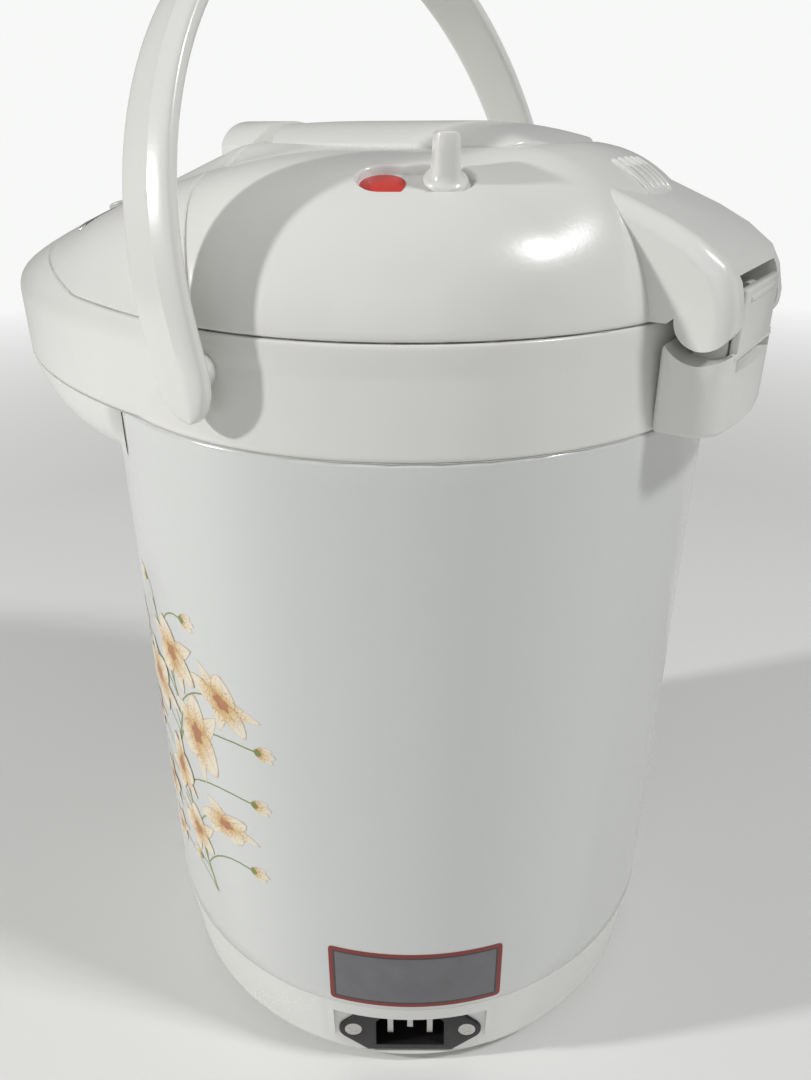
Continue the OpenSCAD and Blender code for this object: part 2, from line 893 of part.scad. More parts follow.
module collar_cuts() {
    translate([0, mouth_y, 0])
        disc(mouth_r, deck_top - 2 * deck_t, deck_top + eps);
    rod_x(hinge_groove_r, -nose_half - 0.5, nose_half + 0.5, hinge_y, hinge_z);
    for (s = [-1, 1])
        mirror([s < 0 ? 1 : 0, 0, 0])
            rod_x(handle_pin_r + pin_fit, handle_pin_in - 0.2, boss_end + eps, 0, pivot_z);
}

module collar() {
    inside = liner_flange - 5.5;
    color("whitesmoke")
        difference() {
            union() {
                difference() {
                    head_form();
                    above_seam();
                    difference() {
                        head_form(shell_t, 2);
                        block([-far, far], [-68, far], [deck_top - deck_t, deck_top]);
                        block([-far, far], [-far, far], [deck_top + 20, far]);
                    }
                }
                tube(liner_flange - 1, inside, liner_top + 2.5, deck_top - deck_t + 0.5);
                difference() {
                    tube(case_r - 1, case_r - 6, case_top + seat_gap, case_top + 2);
                    block([-far, far], [-far, -70], [0, far]);
                }
                handle_bosses();
            }
            collar_cuts();
        }
}

// The spout cover hangs below the head: shallow at its tip, deep beside the case
under_tip = 3.5;
under_drop = 12;
under_from = -150;
under_to = -60;
under_curl = 10;
under_end = 45;
under_levels = 6;
function under_depth(y) = under_tip + under_drop * smooth((y - under_from) / (under_to - under_from));
function under_ring(j, inset) = [for (a = [182:4:358])
    let (v = sin(90 * j / under_levels),
        r = head_r(a, case_top) - 0.4 - inset - under_curl * (1 - sqrt(1 - min(pow(v, 3), 1))),
        x = r * cos(a), y = r * sin(a))
    [x, y, case_top - v * (under_depth(y) - inset)]];

// The cover's outer or inner form, from its floor up to the collar
module under_form(inset = 0) {
    n = 45;
    half = (n - 1) / 2;
    rings = concat([for (j = [under_levels:-1:0]) under_ring(j, inset)],
        inset > 0 ? [[for (p = under_ring(0, inset)) [p[0], p[1], case_top + 1]]] : []);
    last = len(rings) - 1;
    polyhedron([for (ring = rings) each ring], concat(
        [for (i = [0:half - 2]) [i, i + 1, n - 2 - i, n - 1 - i]], [[half - 1, half, half + 1]],
        [[for (i = [n - 1:-1:0]) last * n + i]],
        [for (k = [0:last - 1], i = [0:n - 1]) [k * n + i, (k + 1) * n + i, (k + 1) * n + (i + 1) % n]],
        [for (k = [0:last - 1], i = [0:n - 1]) [k * n + i, (k + 1) * n + (i + 1) % n, k * n + (i + 1) % n]]),
        convexity = 4);
}

module spout_cover() {
    color("whitesmoke")
        difference() {
            under_form();
            difference() {
                under_form(shell_t - 0.2);
                tube(case_r + 2.6, case_r - 6, 0, far);
            }
            block([-far, far], [-under_end, far], [0, far]);
            disc(case_r + seat_gap, case_top - 2 * under_drop, case_top + under_drop);
            translate([0, -nozzle_reach, 0])
                disc(nozzle_r + 0.15, 0, far);
        }
}

// Pocket of the latch
module latch_pocket(grow) {
    block([-latch_half - pocket_gap - grow, latch_half + pocket_gap + grow],
        [-latch_front - 2, -pocket_rear + grow], [latch_floor - grow, far]);
}

// Plan area of the dark panel
module panel_area(shrink = 0) {
    half = panel_half - shrink;
    front_r = (panel_half * panel_half + pow(panel_front - panel_rear, 2)) / (2 * (panel_front - panel_rear));
    translate([0, 0, case_top])
        intersection() {
            translate([0, -panel_front + front_r, 0])
                cylinder(h = far, r = front_r - shrink, $fn = 120);
            block([-half, half], [-far, -panel_rear - shrink], [0, far]);
        }
}

module panel_holes(extra) {
    on_panel()
        translate([0, 0, -board_depth])
            cylinder(h = 2 * board_depth, r = dispense_r + extra);
    on_panel(reboil_at)
        translate([0, 0, -board_depth])
            cylinder(h = 2 * board_depth, r = reboil_r + extra);
}

module lens_holes(extra) {
    for (at = lens_at)
        on_panel(at)
            translate([0, 0, -board_depth])
                cylinder(h = 2 * board_depth, r = lens_r + extra, $fn = 24);
}

module head_cover() {
    color("whitesmoke")
        difference() {
            head_form();
            lid_area(shut_gap / 2);
            difference() {
                block([-far, far], [-far, far], [0, far + case_top]);
                above_seam(seat_gap);
            }
            difference() {
                head_form(shell_t, 2);
                lid_area(shut_gap / 2 + shell_t);
                latch_pocket(2.2);
                for (s = [-1, 1])
                    on_panel([s * board_post[0], board_post[1]])
                        translate([0, 0, -board_depth])
                            cylinder(h = 2 * board_depth, r = 3);
            }
            latch_pocket(0);
            rod_x(latch_pin_r + pin_fit, -latch_half - 1.9, latch_half + 1.9, latch_pivot[0], latch_pivot[1]);
            difference() {
                panel_area();
                translate([0, 0, -panel_t - 0.1])
                    head_form();
            }
            panel_holes(button_gap);
            lens_holes(0.1);
        }
}

module control_panel() {
    color("#3a3f44")
        difference() {
            intersection() {
                head_form();
                panel_area(0.15);
            }
            translate([0, 0, -panel_t])
                head_form();
            panel_holes(button_gap);
            lens_holes(0.1);
        }
}

module indicator_lenses() {
    color("darkorange")
        for (at = lens_at)
            on_panel(at)
                translate([0, 0, panel_drop(at) - 2.6])
                    cylinder(h = 2.7, r = lens_r, $fn = 24);
}

module control_board() {
    color("seagreen")
        on_panel() {
            block([-board_half[0], board_half[0]], [-board_half[1], board_half[1]],
                [-board_depth - board_t, -board_depth]);
            block([-3, 3], [-3, 3], [-board_depth, -board_depth + switch_h]);
            translate([reboil_at[0], reboil_at[1], 0])
                block([-3, 3], [-3, 3], [-board_depth, -board_depth + switch_h]);
        }
}

// Cap, retaining lip and stem of a push button whose seat lies drop above the panel's centre
module push_button(r, drop) {
    lip_low = drop - button_seat;
    lip_high = lip_low + 1.5;
    stem_low = -board_depth + switch_h + button_travel + seat_gap;
    rotate_extrude()
        polygon([[0, stem_low], [2, stem_low], [2, lip_low], [r + button_lip, lip_low],
            [r + button_lip, lip_high], [r, lip_high], [r, drop + button_rise - 0.5],
            [r - 0.5, drop + button_rise], [0, drop + button_rise]]);
}

module dispense_button() {
    color("silver")
        on_panel()
            push_button(dispense_r, 0);
}

module reboil_button() {
    color("silver")
        on_panel(reboil_at)
            push_button(reboil_r, panel_drop(reboil_at));
}

module lid_latch() {
    front = -latch_front;
    rear = -latch_rear;
    color("white") {
        difference() {
            intersection() {
                block([-latch_half, latch_half], [front, rear], [latch_bottom, latch_top + 1]);
                translate([0, 0, latch_top - latch_crown_r])
                    rotate([90, 0, 0])
                        cylinder(h = far, r = latch_crown_r, center = true, $fn = 120);
                translate([0, front + latch_front_r, latch_bottom - 1])
                    cylinder(h = far, r = latch_front_r, $fn = 96);
            }
            rod_x(7, -latch_half - 1, latch_half + 1, front - 2, latch_bottom + 0.4);
        }
        for (s = [-1, 1])
            mirror([s < 0 ? 1 : 0, 0, 0])
                rod_x(latch_pin_r, latch_half - 6, latch_half + 1.6, latch_pivot[0], latch_pivot[1]);
    }
}

// ---- Handle ----

// Section of the strap: thickness outward along the first axis, width along the second
module strap_section() {
    t = strap_t / 2;
    w = strap_w / 2;
    polygon([[-t, -w + 1.6], [-t + 1.2, -w], [t - 1.7, -w], [t - 0.5, -w + 1.4], [t, -w / 3],
        [t - 0.7, w - 1.4], [t - 1.7, w], [-t + 1.2, w], [-t, w - 1.6]]);
}

module handle() {
    color("whitesmoke")
        translate([0, 0, pivot_z])
            rotate([handle_lean, 0, 0])
                difference() {
                    union() {
                        translate([0, 0, leg_rise])
                            rotate([90, 0, 0])
                                rotate_extrude(angle = 180, $fn = 160)
                                    translate([bow_r, 0])
                                        strap_section();
                        for (s = [-1, 1])
                            mirror([s < 0 ? 1 : 0, 0, 0]) {
                                translate([bow_r, 0, 0])
                                    linear_extrude(leg_rise)
                                        mirror([0, 1])
                                            strap_section();
                                rod_x(handle_disc_r, bow_r - strap_t / 2, bow_r + strap_t / 2, 0, 0);
                            }
                    }
                    for (s = [-1, 1])
                        mirror([s < 0 ? 1 : 0, 0, 0])
                            rod_x(handle_pin_r + pin_fit, 0, handle_pin_out + 0.1, 0, 0);
                }
}

module handle_pins() {
    color("silver")
        for (s = [-1, 1])
            mirror([s < 0 ? 1 : 0, 0, 0])
                rod_x(handle_pin_r, handle_pin_in, handle_pin_out, 0, pivot_z);
}

// ---- Hinge ----

module hinge_pin() {
    color("silver")
        rod_x(hinge_pin_r, -nose_half + 1.2, nose_half - 1.2, hinge_y, hinge_z);
}

module hinge_release() {
    mid = release_y + release_t / 2;
    color("ivory") {
        block([-release_half, release_half], [release_y, release_y + release_t],
            [release_foot_z, release_top_z]);
        rod_x(release_pin_r, -release_half - 2, release_half + 2, mid, release_foot_z);
    }
}

// ---- Lid ----

// Outline of the hinge nose, seen from the side, with its wall taken off by inset
module nose_form(inset = 0) {
    y = hinge_y;
    z = hinge_z;
    i = inset;
    side_profile([[y - 45, z + 2], [y - 43.4, z + 36 - i], [y - 29.1, z + 29.3 - i], [y - 12.9, z + 22.8 - i],
        [y - 4.4, z + 18.5 - i], [y + 3.3 - i, z + 12.7 - i], [y + 5.2 - i, z + 8.3], [y + 7.8 - i, z - 1.6],
        [y - 6.8, z - 1.6], [y - 9, z - 1.6]], nose_half - i);
}

module knuckles() {
    for (s = [-1, 1])
        mirror([s < 0 ? 1 : 0, 0, 0])
            rod_x(knuckle_r, cheek_in, nose_half, hinge_y, hinge_z);
}

// Plan area of the push plate
module plate_area(grow = 0, tall = far) {
    intersection() {
        block([-plate_half - grow, plate_half + grow], [-far, far], [0, tall]);
        translate([0, -plate_front + plate_front_r, 0])
            cylinder(h = tall, r = plate_front_r + grow, $fn = 120);
        translate([0, plate_rear - plate_rear_r, 0])
            cylinder(h = tall, r = plate_rear_r + grow, $fn = 120);
    }
}

module above(z) {
    translate([0, 0, z])
        children();
}

// Rounded slot along an arc about the pot's axis
module lock_slot(grow, z_low, z_high) {
    intersection() {
        tube(lock_r + lock_slot_half + grow, lock_r - lock_slot_half - grow, z_low, z_high);
        rotate(lock_from)
            block([0, far], [0, far], [z_low, z_high]);
        rotate(lock_to - 90)
            block([0, far], [0, far], [z_low, z_high]);
    }
    for (a = [lock_from, lock_to])
        rotate(a)
            translate([lock_r, 0, 0])
                disc(lock_slot_half + grow, z_low, z_high);
}

module lid_blocks() {
    above(flange_top)
        plate_area(plate_gap + well_t);
    for (sx = [-1, 1], y = [-6, 26])
        translate([sx * lid_post_x, y, 0])
            disc(lid_post_r, flange_top, far);
    lock_slot(lock_wall, lock_floor - lock_floor_t, far);
}

module lid_shell() {
    color("whitesmoke")
        difference() {
            union() {
                difference() {
                    head_form();
                    difference() {
                        block([-far, far], [-far, far], [0, far + case_top]);
                        above_seam(shut_gap);
                    }
                }
                intersection() {
                    nose_form();
                    block([-far, far], [0, nose_split], [0, far]);
                }
            }
            difference() {
                block([-far, far], [-far, far], [0, far + case_top]);
                lid_area(-shut_gap / 2);
            }
            difference() {
                head_form(shell_t, 2);
                lid_blocks();
                difference() {
                    block([-far, far], [-far, far], [0, far]);
                    lid_area(-shut_gap / 2 - 1.5);
                }
            }
            above(flange_top - 1)
                plate_area(plate_gap);
            lock_slot(0, lock_floor, far);
            rod_x(hinge_groove_r, -cheek_in, cheek_in, hinge_y, hinge_z);
            for (i = [-2:2])
                block([5 * i - 1.1, 5 * i + 1.1], [hinge_y - 38, hinge_y - 23], [seam_z + 10, far]);
        }
}

module hinge_nose() {
    color("whitesmoke")
        difference() {
            union() {
                intersection() {
                    nose_form();
                    block([-far, far], [nose_split + joint_gap, far], [0, far]);
                }
                knuckles();
            }
            head_form(-joint_gap, joint_gap);
            rod_x(hinge_groove_r, -cheek_in, cheek_in, hinge_y, hinge_z);
            block([-cheek_in, cheek_in], [hinge_y, far], [0, hinge_z + 12]);
            rod_x(hinge_pin_r + pin_fit, -nose_half + 0.9, nose_half - 0.9, hinge_y, hinge_z);
        }
}

module lid_inner() {
    seat = mouth_r - 16;
    color("white")
        translate([0, mouth_y, 0])
            difference() {
                rotate_extrude($fn = 96)
                    polygon([[0, plug_z], [plug_r, plug_z], [plug_r, flange_z], [flange_r, flange_z],
                        [flange_r, flange_top], [seat, flange_top], [seat, flange_top - 2],
                        [plug_r - plug_t, flange_top - 2], [plug_r - plug_t, plug_z + plug_t],
                        [0, plug_z + plug_t]]);
                for (a = [0:60:300])
                    rotate(a)
                        translate([vent_reach, 0, 0])
                            disc(1.5, plug_z - eps, plug_z + plug_t + eps);
                disc(2.5, plug_z - eps, plug_z + plug_t + eps);
            }
}

module lid_gasket() {
    color("silver")
        translate([0, mouth_y, 0])
            tube(flange_r - 1.5, mouth_r + 0.5, deck_top, flange_z);
}

// Folded wall of the bellows, with a closed top
module bellows() {
    low = bellows_bottom + seat_gap;
    high = bellows_top - seat_gap;
    step = (high - low) / (2 * bellows_folds);
    outer = [for (i = [0:2 * bellows_folds]) [i % 2 == 0 ? bellows_in : bellows_r, low + i * step]];
    inner = [for (i = [2 * bellows_folds - 1:-1:0])
        [(i % 2 == 0 ? bellows_in : bellows_r) - 1.4 * bellows_t, low + i * step]];
    color("ivory")
        translate([0, mouth_y, 0])
            rotate_extrude($fn = 72)
                polygon(concat(outer,
                    [[0, high], [0, high - bellows_t], [bellows_in - 1.4 * bellows_t, high - bellows_t]], inner));
}

// A coil spring as one swept tube
module bellows_spring() {
    low = bellows_bottom + spring_wire + 0.35;
    high = bellows_top - bellows_t - spring_wire - 0.7;
    sides = 6;
    count = spring_turns * spring_steps;
    rise = atan2(high - low, 360 * spring_turns * spring_r * PI / 180);
    points = [for (i = [0:count], k = [0:sides - 1])
        let (a = 360 * i / spring_steps, b = 360 * k / sides,
            out = spring_r + spring_wire * cos(b), up = spring_wire * sin(b))
        [out * cos(a) + up * sin(rise) * sin(a), out * sin(a) - up * sin(rise) * cos(a),
            low + (high - low) * i / count + up * cos(rise)]];
    color("silver")
        translate([0, mouth_y, 0])
            polyhedron(points, concat([[for (k = [0:sides - 1]) k]],
                [[for (k = [sides - 1:-1:0]) count * sides + k]],
                [for (i = [0:count - 1], k = [0:sides - 1])
                    [i * sides + k, (i + 1) * sides + k, (i + 1) * sides + (k + 1) % sides]],
                [for (i = [0:count - 1], k = [0:sides - 1])
                    [i * sides + k, (i + 1) * sides + (k + 1) % sides, i * sides + (k + 1) % sides]]));
}

module lock_marker() {
    color("firebrick")
        rotate(lock_from)
            translate([lock_r, 0, 0])
                disc(lock_slot_half - 0.3, lock_floor, lock_floor + 0.3);
}

module lock_knob() {
    low = lock_floor + 0.6;
    color("white")
        rotate(knob_angle)
            translate([lock_r, 0, 0]) {
                disc(knob_r, low, head_z(lock_r * cos(knob_angle), lock_r * sin(knob_angle)) - 1);
                block([-knob_r + 1, knob_r - 1], [-knob_tab, knob_tab], [low, knob_top]);
            }
}

// Long profile of the plate's top, rolled down towards both ends
function plate_profile(drop, low) = concat([[-plate_front - 20, low]],
    [for (i = [0:5]) let (y = -plate_front - 4 + i * (plate_front + 4 - front_roll_start) / 5)
        [y, plate_top - drop - pow(y + front_roll_start, 2) / (2 * front_roll_r)]],
    [for (i = [0:9]) let (y = roll_start + i * (plate_rear + 4 - roll_start) / 9)
        [y, plate_top - drop - pow(y - roll_start, 2) / (2 * roll_r)]],
    [[plate_rear + 20, low]]);

module plate_body(drop, low) {
    intersection() {
        plate_area(-drop);
        side_profile(plate_profile(drop, low), plate_half + 5);
        translate([0, 0, plate_top - drop - plate_crown_r])
            rotate([90, 0, 0])
                cylinder(h = far, r = plate_crown_r, center = true, $fn = 180);
        block([-far, far], [-far, far], [low, far]);
    }
}

module push_plate() {
    color("whitesmoke") {
        difference() {
            plate_body(0, skirt_z);
            plate_body(plate_t, skirt_z - 1);
        }
        translate([0, mouth_y, 0])
            disc(plate_core_r, bellows_top, plate_top - plate_t + 0.6);
    }
}

base_ring();
base_cover();
base_screws();
rubber_feet();
mains_inlet();
inlet_pins();
inlet_screws();
outer_case();
gauge_window();
inner_pot();
liner_gasket();
liner_bracket();
heater_band();
thermostats();
pump_motor();
pump_housing();
pump_impeller();
lower_hose();
sight_tube();
upper_hose();
nozzle();
collar();
hinge_bracket();
spout_cover();
head_cover();
control_panel();
indicator_lenses();
control_board();
dispense_button();
reboil_button();
lid_latch();
handle_pins();
handle();
hinge_pin();
hinge_release();
lid_shell();
hinge_nose();
lid_inner();
lid_gasket();
bellows();
bellows_spring();
lock_marker();
lock_knob();
push_plate();
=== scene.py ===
# Electric thermo pot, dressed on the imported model. Everything is in metres, in the model's own frame.
import json
import math
import random

import bmesh
import bpy
from mathutils import Matrix, Vector


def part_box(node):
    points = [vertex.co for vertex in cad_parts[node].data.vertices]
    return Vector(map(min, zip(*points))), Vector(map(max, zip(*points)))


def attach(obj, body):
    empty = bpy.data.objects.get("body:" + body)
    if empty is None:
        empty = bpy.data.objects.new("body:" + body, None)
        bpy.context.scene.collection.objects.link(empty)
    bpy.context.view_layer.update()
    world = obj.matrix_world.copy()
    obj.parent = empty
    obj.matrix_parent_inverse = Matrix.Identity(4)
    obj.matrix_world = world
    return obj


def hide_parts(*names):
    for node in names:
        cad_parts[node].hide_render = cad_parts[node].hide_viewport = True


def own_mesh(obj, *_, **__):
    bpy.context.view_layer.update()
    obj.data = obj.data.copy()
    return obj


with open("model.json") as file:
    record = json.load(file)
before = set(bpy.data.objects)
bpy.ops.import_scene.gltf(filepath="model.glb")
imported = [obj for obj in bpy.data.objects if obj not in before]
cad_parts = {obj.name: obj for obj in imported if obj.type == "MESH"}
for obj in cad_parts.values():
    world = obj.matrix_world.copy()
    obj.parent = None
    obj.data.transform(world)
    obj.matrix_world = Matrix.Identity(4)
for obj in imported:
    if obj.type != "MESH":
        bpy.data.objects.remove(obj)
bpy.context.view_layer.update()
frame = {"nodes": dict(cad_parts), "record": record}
mm = 0.001
mergeGap, wrapGap = 0.00001, 0.000002
random.seed(7)
print("frame loaded:", len(frame["nodes"]), "nodes")


# ---- small helpers ----

def clearSelection():
    if bpy.context.object and bpy.context.object.mode != "OBJECT":
        bpy.ops.object.mode_set(mode="OBJECT")
    bpy.ops.object.select_all(action="DESELECT")


def pick(piece):
    clearSelection()
    piece.select_set(True)
    bpy.context.view_layer.objects.active = piece
    return piece


def selectAll(action="SELECT"):
    return bpy.ops.mesh.select_all, {"action": action}


def onMesh(piece, *steps):
    # mesh operators on a piece, all of it selected at first; a step is an operator and its settings
    pick(piece)
    bpy.ops.object.mode_set(mode="EDIT")
    for operator, settings in (selectAll(),) + steps:
        operator(**settings)
    bpy.ops.object.mode_set(mode="OBJECT")
    return piece


def merged(gap):
    return bpy.ops.mesh.remove_doubles, {"threshold": gap}


facingOut = (bpy.ops.mesh.normals_make_consistent, {"inside": False})


def cleanUp(piece, outward=True):
    return onMesh(piece, merged(mergeGap), *([facingOut] if outward else []))


def gridPiece(name, across, along, place, wrap=False, capEnds=False):
    # a grid laid over a form: place(u, v) gives millimetres, u and v run from 0 to 1
    clearSelection()
    bpy.ops.mesh.primitive_grid_add(x_subdivisions=across, y_subdivisions=along, size=1,
                                    location=(0, 0, 0))
    piece = bpy.context.object
    piece.name = piece.data.name = name
    coords = []
    for point in piece.data.vertices:
        x, y, z = place(point.co.x + 0.5, point.co.y + 0.5)
        coords += [x * mm, y * mm, z * mm]
    piece.data.vertices.foreach_set("co", coords)
    piece.data.update()
    steps = [merged(wrapGap)] if wrap else []
    if capEnds:
        steps += [selectAll("DESELECT"), (bpy.ops.mesh.select_non_manifold, {}),
                  (bpy.ops.mesh.fill_holes, {"sides": 0}), selectAll(), facingOut]
    return onMesh(piece, *steps)


def turnOut(piece, centre):
    # an open skin is turned so that its faces look away from centre
    c = Vector(centre) * mm
    total = sum((f.center - c).normalized().dot(f.normal) * f.area for f in piece.data.polygons)
    return onMesh(piece, (bpy.ops.mesh.flip_normals, {})) if total < 0 else piece


def applyModifier(piece, kind, **settings):
    pick(piece)
    change = piece.modifiers.new(kind.title(), kind)
    for key, value in settings.items():
        setattr(change, key, value)
    bpy.ops.object.modifier_apply(modifier=change.name)
    return piece


def rimBevel(piece, width, segments, angle, clamp=False):
    # edges sharper than the angle are rounded; clamp keeps them off their neighbours
    return applyModifier(piece, "BEVEL", width=width * mm, segments=segments, limit_method="ANGLE",
                         angle_limit=math.radians(angle), use_clamp_overlap=clamp)


def cutAway(piece, cutter, operation="DIFFERENCE"):
    applyModifier(piece, "BOOLEAN", object=cutter, operation=operation, solver="EXACT")
    bpy.data.objects.remove(cutter)
    return piece


def boxPiece(name, low, high, bevel=0, segments=3):
    clearSelection()
    centre = [(a + b) / 2 * mm for a, b in zip(low, high)]
    bpy.ops.mesh.primitive_cube_add(size=1, location=centre)
    piece = bpy.context.object
    piece.name = piece.data.name = name
    piece.scale = [(b - a) * mm for a, b in zip(low, high)]
    bpy.ops.object.transform_apply(location=True, rotation=True, scale=True)
    if bevel:
        rimBevel(piece, bevel, segments, 30, True)
    return piece


def rodPiece(name, radius, depth, centre, turn=(0, 0, 0), sides=64, bevel=0):
    clearSelection()
    bpy.ops.mesh.primitive_cylinder_add(
        vertices=sides, radius=radius * mm, depth=depth * mm, location=[c * mm for c in centre],
        rotation=[math.radians(t) for t in turn])
    piece = bpy.context.object
    piece.name = piece.data.name = name
    bpy.ops.object.transform_apply(location=True, rotation=True, scale=True)
    if bevel:
        rimBevel(piece, bevel, 3, 50, True)
    return piece


def joinPieces(first, *others):
    pick(first)
    for other in others:
        other.select_set(True)
    bpy.ops.object.join()
    clearSelection()
    return first


def nodeCopy(node, name):
    # a merged copy of a node's loose triangles, free to be trimmed and rounded
    source = frame["nodes"][node]
    piece = bpy.data.objects.new(name, source.data.copy())
    bpy.context.scene.collection.objects.link(piece)
    piece.data.name = name
    piece.data.materials.clear()
    if piece.data.has_custom_normals:
        pick(piece)
        bpy.ops.mesh.customdata_custom_splitnormals_clear()
    return cleanUp(piece, outward=False)


def dropFaces(piece, test):
    # faces that meet the test, by centre and normal in millimetres, are taken off
    work = bmesh.new()
    work.from_mesh(piece.data)
    work.normal_update()
    gone = [f for f in work.faces if test(f.calc_center_median() / mm, f.normal)]
    bmesh.ops.delete(work, geom=gone, context="FACES")
    work.to_mesh(piece.data)
    work.free()
    return piece


def finishPiece(piece, body, slot, replaced=(), smoothAngle=35, material=None):
    # smooth shading with crisp corners, and the finish of its slot unless it has one of its own
    pick(piece)
    bpy.ops.object.transform_apply(location=True, rotation=True, scale=True)
    bpy.ops.object.shade_smooth_by_angle(angle=math.radians(smoothAngle))
    clearSelection()
    piece.data.materials.clear()
    piece.data.materials.append(material or finishes[slot])
    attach(piece, body)
    if replaced:
        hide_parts(*replaced)
    return piece


# ---- the head's form, the same rules as the solid model, in millimetres ----

headForm = {"caseR": 96, "caseTop": 232, "wallRise": 20, "draft": 3, "seamZ": 259.5, "crown": 47,
            "reach": 165.6, "tipR": 55, "fall": 0.18, "rearPower": 4.3, "frontPower": 3.6,
            "ridgeH": 7.5, "ridgeFlat": 24, "ridgeSide": 46, "ridgePeak": 45, "ridgeEnd": 112,
            "ridgeRearH": 4.4, "ridgeRearStart": 20, "ridgeRearEnd": 65,
            "bendA": -20, "bendB": -60, "seamStep": 1.5, "seamSlope": 0.22,
            "lidCentreY": 85, "lidR": 128}
wallZ = headForm["caseTop"] + headForm["wallRise"]
neckR = headForm["caseR"] - headForm["draft"]
tipY = headForm["reach"] - headForm["tipR"]
flankR = (neckR ** 2 + tipY ** 2 - headForm["tipR"] ** 2) / (2 * (neckR - headForm["tipR"]))
joinDir = math.atan2(tipY, flankR - neckR)
joinPolar = math.atan2(flankR * math.sin(joinDir), neckR - flankR + flankR * math.cos(joinDir))


def ease(t):
    t = min(max(t, 0), 1)
    return t * t * (3 - 2 * t)


def beakR(c, s):
    if math.atan2(s, c) < joinPolar:
        return (neckR - flankR) * c + math.sqrt(flankR ** 2 - ((neckR - flankR) * s) ** 2)
    return tipY * s + math.sqrt(headForm["tipR"] ** 2 - (tipY * c) ** 2)


def headR(a, z):
    rise = min(max((z - headForm["caseTop"]) / headForm["wallRise"], 0), 1)
    wall = headForm["caseR"] - headForm["draft"] * rise
    return wall if math.sin(a) >= 0 else max(wall, beakR(abs(math.cos(a)), -math.sin(a)))


def powerAt(a):
    return headForm["rearPower"] - (headForm["rearPower"] - headForm["frontPower"]) * max(-math.sin(a), 0)


def fallAt(a):
    return headForm["fall"] * max(-math.sin(a), 0) ** 2


def ridge(x, y):
    f = headForm
    side = ease((f["ridgeSide"] - abs(x)) / (f["ridgeSide"] - f["ridgeFlat"]))
    if y < 0:
        rise = ease(-y / f["ridgePeak"]) if -y < f["ridgePeak"] \
            else max(1 - (-y - f["ridgePeak"]) / (f["ridgeEnd"] - f["ridgePeak"]), 0)
        return side * f["ridgeH"] * rise
    rear = (y - f["ridgeRearStart"]) / (f["ridgeRearEnd"] - f["ridgeRearStart"])
    return side * f["ridgeRearH"] * ease(rear)


def domePoint(a, t):
    # a point of the dome at plan angle a, t from 0 at the rim to 90 degrees at the top, as r and z
    r = headR(a, wallZ) * math.cos(t) ** (2 / powerAt(a))
    x, y = r * math.cos(a), r * math.sin(a)
    return r, wallZ + (headForm["crown"] - fallAt(a) * r + ridge(x, y)) * math.sin(t)


def headZ(x, y):
    r, a = math.hypot(x, y), math.atan2(y, x)
    up = math.sqrt(max(1 - (r / headR(a, wallZ)) ** powerAt(a), 0))
    return wallZ + (headForm["crown"] - fallAt(a) * r + ridge(x, y)) * up


def seamZ(y):
    f = headForm
    if y > f["bendA"]:
        return f["seamZ"]
    if y > f["bendB"]:
        return f["seamZ"] + f["seamStep"] * (f["bendA"] - y) / (f["bendA"] - f["bendB"])
    return f["seamZ"] + f["seamStep"] + f["seamSlope"] * (f["bendB"] - y)


def whereOnDome(a, test):
    # the first t, going up the dome, at which test(x, y, z) holds
    step = math.radians(0.5)
    t = 0.0
    while t < math.pi / 2:
        r, z = domePoint(a, t)
        if test(r * math.cos(a), r * math.sin(a), z):
            low, high = max(t - step, 0), t
            for _ in range(18):
                mid = (low + high) / 2
                r, z = domePoint(a, mid)
                if test(r * math.cos(a), r * math.sin(a), z):
                    high = mid
                else:
                    low = mid
            return high
        t += step
    return math.pi / 2


def insideLid(x, y, grow=0.0):
    return math.hypot(x, y - headForm["lidCentreY"]) < headForm["lidR"] + grow


plateForm = {"half": 27.6, "front": -40.9, "rear": 59.5, "frontR": 48, "rearR": 60, "top": 306,
             "crownR": 59.5, "rollStart": 22, "rollR": 75, "frontRollStart": -15, "frontRollR": 300,
             "blend": 1.2, "middleY": 9, "edge": 1.3, "skirt": 284, "thick": 2,
             "coreY": 10, "coreR": 12, "coreLow": 292, "coreTop": 303.5}


def insidePlate(x, y, grow=0.0):
    p = plateForm
    return (abs(x) < p["half"] + grow
            and math.hypot(x, y - p["front"] - p["frontR"]) < p["frontR"] + grow
            and math.hypot(x, y - p["rear"] + p["rearR"]) < p["rearR"] + grow)


def resample(path, count, cutStart, cutEnd):
    # count points along a polyline of r and z, leaving a length free at each end for the rolled edges
    lengths = [0]
    for p, q in zip(path, path[1:]):
        lengths.append(lengths[-1] + math.hypot(q[0] - p[0], q[1] - p[1]))
    total = lengths[-1]
    cutStart, cutEnd = min(cutStart, total * 0.3), min(cutEnd, total * 0.3)
    out, k = [], 0
    for i in range(count):
        d = cutStart + (total - cutStart - cutEnd) * i / (count - 1)
        while k < len(lengths) - 2 and lengths[k + 1] < d:
            k += 1
        share = (d - lengths[k]) / max(lengths[k + 1] - lengths[k], 1e-9)
        out.append((path[k][0] + (path[k + 1][0] - path[k][0]) * share,
                    path[k][1] + (path[k + 1][1] - path[k][1]) * share))
    return out, cutStart, cutEnd


def rolled(end, before, radius, depth, side):
    # the rolled edge past end: a quarter turn inwards and then a plain wall of that depth
    tr, tz = end[0] - before[0], end[1] - before[1]
    length = math.hypot(tr, tz) or 1
    tr, tz = tr / length, tz / length
    turns = [math.radians(t) for t in (30, 60, 90)]
    steps = [(radius * math.sin(t), radius * (1 - math.cos(t))) for t in turns] + [(radius, depth)]
    return [(end[0] + tr * past - side * tz * down, end[1] + tz * past + side * tr * down)
            for past, down in steps]


